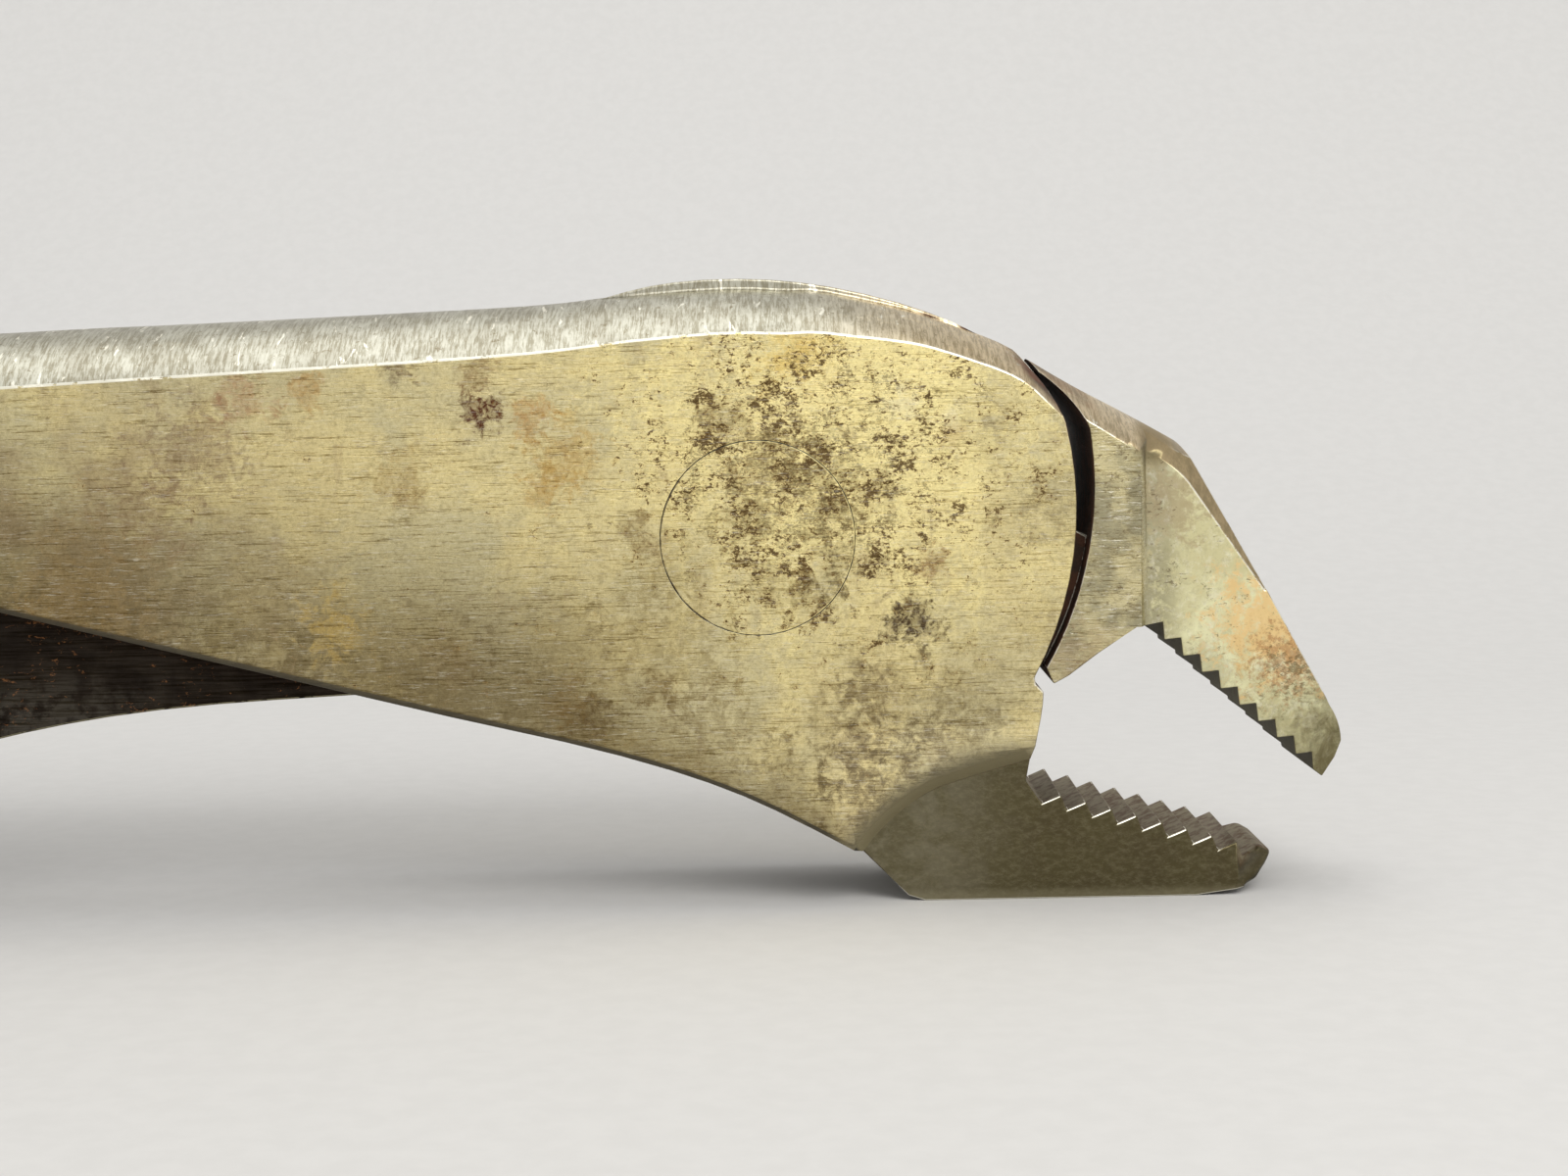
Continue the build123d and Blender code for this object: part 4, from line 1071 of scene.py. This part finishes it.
class PLIERS_OT_screw(bpy.types.Operator):
    """Cuts the adjusting screw's thread and finishes its nut and knob"""

    bl_idname = "pliers.screw"
    bl_label = "Adjusting screw"

    def execute(self, context):
        size = sizes()
        tip, rear = screw_ends()
        length = (rear - tip).length
        overlap = 0.3 * MM
        chamfer = 0.8 * MM
        thread_end = length - length_of("screw_knob") + 0.4 * MM
        first_turn = size.thread_start - size.pitch
        turns = math.ceil((thread_end - first_turn) / size.pitch) + 1
        root = size.screw - size.thread_depth
        flanks = [(root, 0), (size.screw, 0.35), (size.screw, 0.5), (root, 0.85), (root, 1)]
        bm = bmesh.new()
        thread = [(radius, first_turn + share * size.pitch) for radius, share in flanks]
        turned(bm, thread, turns, size.pitch)
        bmesh.ops.remove_doubles(bm, verts=bm.verts, dist=WELD)
        cut_off(bm, size.thread_start, -1)
        cut_off(bm, thread_end, 1)
        neck = size.screw - 1.0 * MM
        neck_end = size.thread_start + overlap
        turned(bm, [(0, 0), (neck - chamfer, 0), (neck, chamfer), (neck, neck_end), (0, neck_end)])
        shank = size.screw - 0.5 * MM
        shank_start = thread_end - overlap
        turned(bm, [(0, shank_start), (shank, shank_start), (shank, length), (0, length)])
        bmesh.ops.remove_doubles(bm, verts=bm.verts, dist=WELD)
        bmesh.ops.recalc_face_normals(bm, faces=bm.faces)
        along = (rear - tip).normalized()
        axes = Matrix((ACROSS, along.cross(ACROSS), along)).transposed().to_4x4()
        bmesh.ops.transform(bm, matrix=Matrix.Translation(tip) @ axes, verts=bm.verts)
        even = (0.4, 0.4, 0.4)
        screw = dull_finish("screw_steel", (158, 150, 132), wear=0.4, rust=0.35, rough=0.38, grain=even)
        give_mesh(
            "adjusting_screw_cut", bm, screw, "screw", "adjusting_screw", sharp_from=35
        )
        worn_copy("screw_nut", screw, size.edge)
        knob = dull_finish("knob_steel", (160, 150, 130), wear=0.7, rust=0.3, rough=0.36, grain=even)
        worn_copy("screw_knob", knob, size.fine_edge)
        return {"FINISHED"}


# ---- stage ----
FLOOR_HALF = 1.5
FLOOR_SHIFT = Vector((0, -1.1, 0))
BACKDROP_RISE = Vector((0, 0, 1.4))
BACKDROP_BEND = 0.3
CAMERA_FROM_PIVOT = Vector((3.75, -152.74, 8.58)) * MM
CAMERA_RIGHT = Vector((0.99967, 0.01286, -0.02206))
CAMERA_UP = Vector((0.02094, 0.08133, 0.99647))
CAMERA_FOCAL = 52.4


def lamp(name, offset, size, energy, tint=(1, 1, 1)):
    """A soft square lamp that looks at the pivot, from an offset in metres."""
    data = bpy.data.lights.new(name, "AREA")
    data.size = size
    data.energy = energy
    data.color = tint
    light = add_object(name, data)
    light.location = PIVOT + Vector(offset)
    light.rotation_euler = (-Vector(offset)).to_track_quat("-Z", "Y").to_euler()


def sweep_mesh():
    """A floor that rises in one bend to a backdrop."""
    bm = bmesh.new()
    floor = bmesh.ops.create_grid(bm, x_segments=1, y_segments=1, size=FLOOR_HALF)["verts"]
    back = [edge for edge in bm.edges if all(vertex.co.y > 0 for vertex in edge.verts)]
    bmesh.ops.translate(bm, vec=FLOOR_SHIFT, verts=floor)
    draw_out(bm, back, BACKDROP_RISE)
    fold = [edge for edge in bm.edges if all(v.co.y > 0 and v.co.z < BACKDROP_BEND for v in edge.verts)]
    bmesh.ops.bevel(
        bm, geom=fold, offset=BACKDROP_BEND, segments=16, profile=0.5, affect="EDGES", material=-1
    )
    bmesh.ops.recalc_face_normals(bm, faces=bm.faces)
    bmesh.ops.reverse_faces(bm, faces=bm.faces)
    return smooth_mesh("studio_sweep", bm)


class PLIERS_OT_stage(bpy.types.Operator):
    """Sets the floor, the backdrop, the lamps and the camera"""

    bl_idname = "pliers.stage"
    bl_label = "Stage"

    def execute(self, context):
        scene = bpy.context.scene
        sweep = add_object("studio_sweep", sweep_mesh())
        paper = Finish("pale_sweep")
        grain = paper.clouds(0.5, 3, 0.6)
        tone = paper.mix(paper.within(grain, 0.3, 0.7), paint(197, 196, 194), paint(200, 199, 197))
        finish = paper.finish(tone, 0.8, metallic=0.0)
        paper.see_through_back()
        sweep.data.materials.append(finish)

        world = bpy.data.worlds.new("studio_world")
        world.use_nodes = True
        background = world.node_tree.nodes["Background"]
        background.inputs["Color"].default_value = (1, 0.995, 0.985, 1)
        background.inputs["Strength"].default_value = 0.9
        scene.world = world
        lamp("key", (0.18, -0.45, 0.42), 0.35, 2.3, (1, 0.985, 0.96))
        lamp("top", (-0.1, 0.1, 0.6), 0.5, 0.9)

        data = bpy.data.cameras.new("camera")
        data.lens = CAMERA_FOCAL
        data.sensor_width = 36.0
        data.clip_start = 0.005
        camera = add_object("camera", data)
        axes = Matrix((CAMERA_RIGHT, CAMERA_UP, CAMERA_RIGHT.cross(CAMERA_UP))).transposed().to_4x4()
        camera.matrix_world = Matrix.Translation(PIVOT + CAMERA_FROM_PIVOT) @ axes
        scene.camera = camera
        scene.view_settings.view_transform = "Standard"
        return {"FINISHED"}


OPERATORS = (
    PLIERS_OT_stage,
    PLIERS_OT_body,
    PLIERS_OT_jaws,
    PLIERS_OT_handle,
    PLIERS_OT_link,
    PLIERS_OT_springs,
    PLIERS_OT_screw,
)


class PLIERS_PT_panel(bpy.types.Panel):
    """Lists the pliers' settings and the operators that build them"""

    bl_idname = "PLIERS_PT_panel"
    bl_label = "Locking Pliers"
    bl_space_type = "VIEW_3D"
    bl_region_type = "UI"
    bl_category = "Pliers"

    def draw(self, context):
        layout = self.layout
        for group in (context.scene.pliers_sizes, context.scene.pliers_colours):
            column = layout.column()
            for name in group.__annotations__:
                column.prop(group, name)
        for operator in OPERATORS:
            layout.operator(operator.bl_idname)


CLASSES = (PliersSizes, PliersColours, *OPERATORS, PLIERS_PT_panel)


def register():
    for kind in CLASSES:
        bpy.utils.register_class(kind)
    bpy.types.Scene.pliers_sizes = PointerProperty(type=PliersSizes)
    bpy.types.Scene.pliers_colours = PointerProperty(type=PliersColours)


def unregister():
    del bpy.types.Scene.pliers_colours
    del bpy.types.Scene.pliers_sizes
    for kind in reversed(CLASSES):
        bpy.utils.unregister_class(kind)


def main():
    register()
    for operator in OPERATORS:
        group, name = operator.bl_idname.split(".")
        getattr(getattr(bpy.ops, group), name)()


if __name__ == "__main__":
    main()
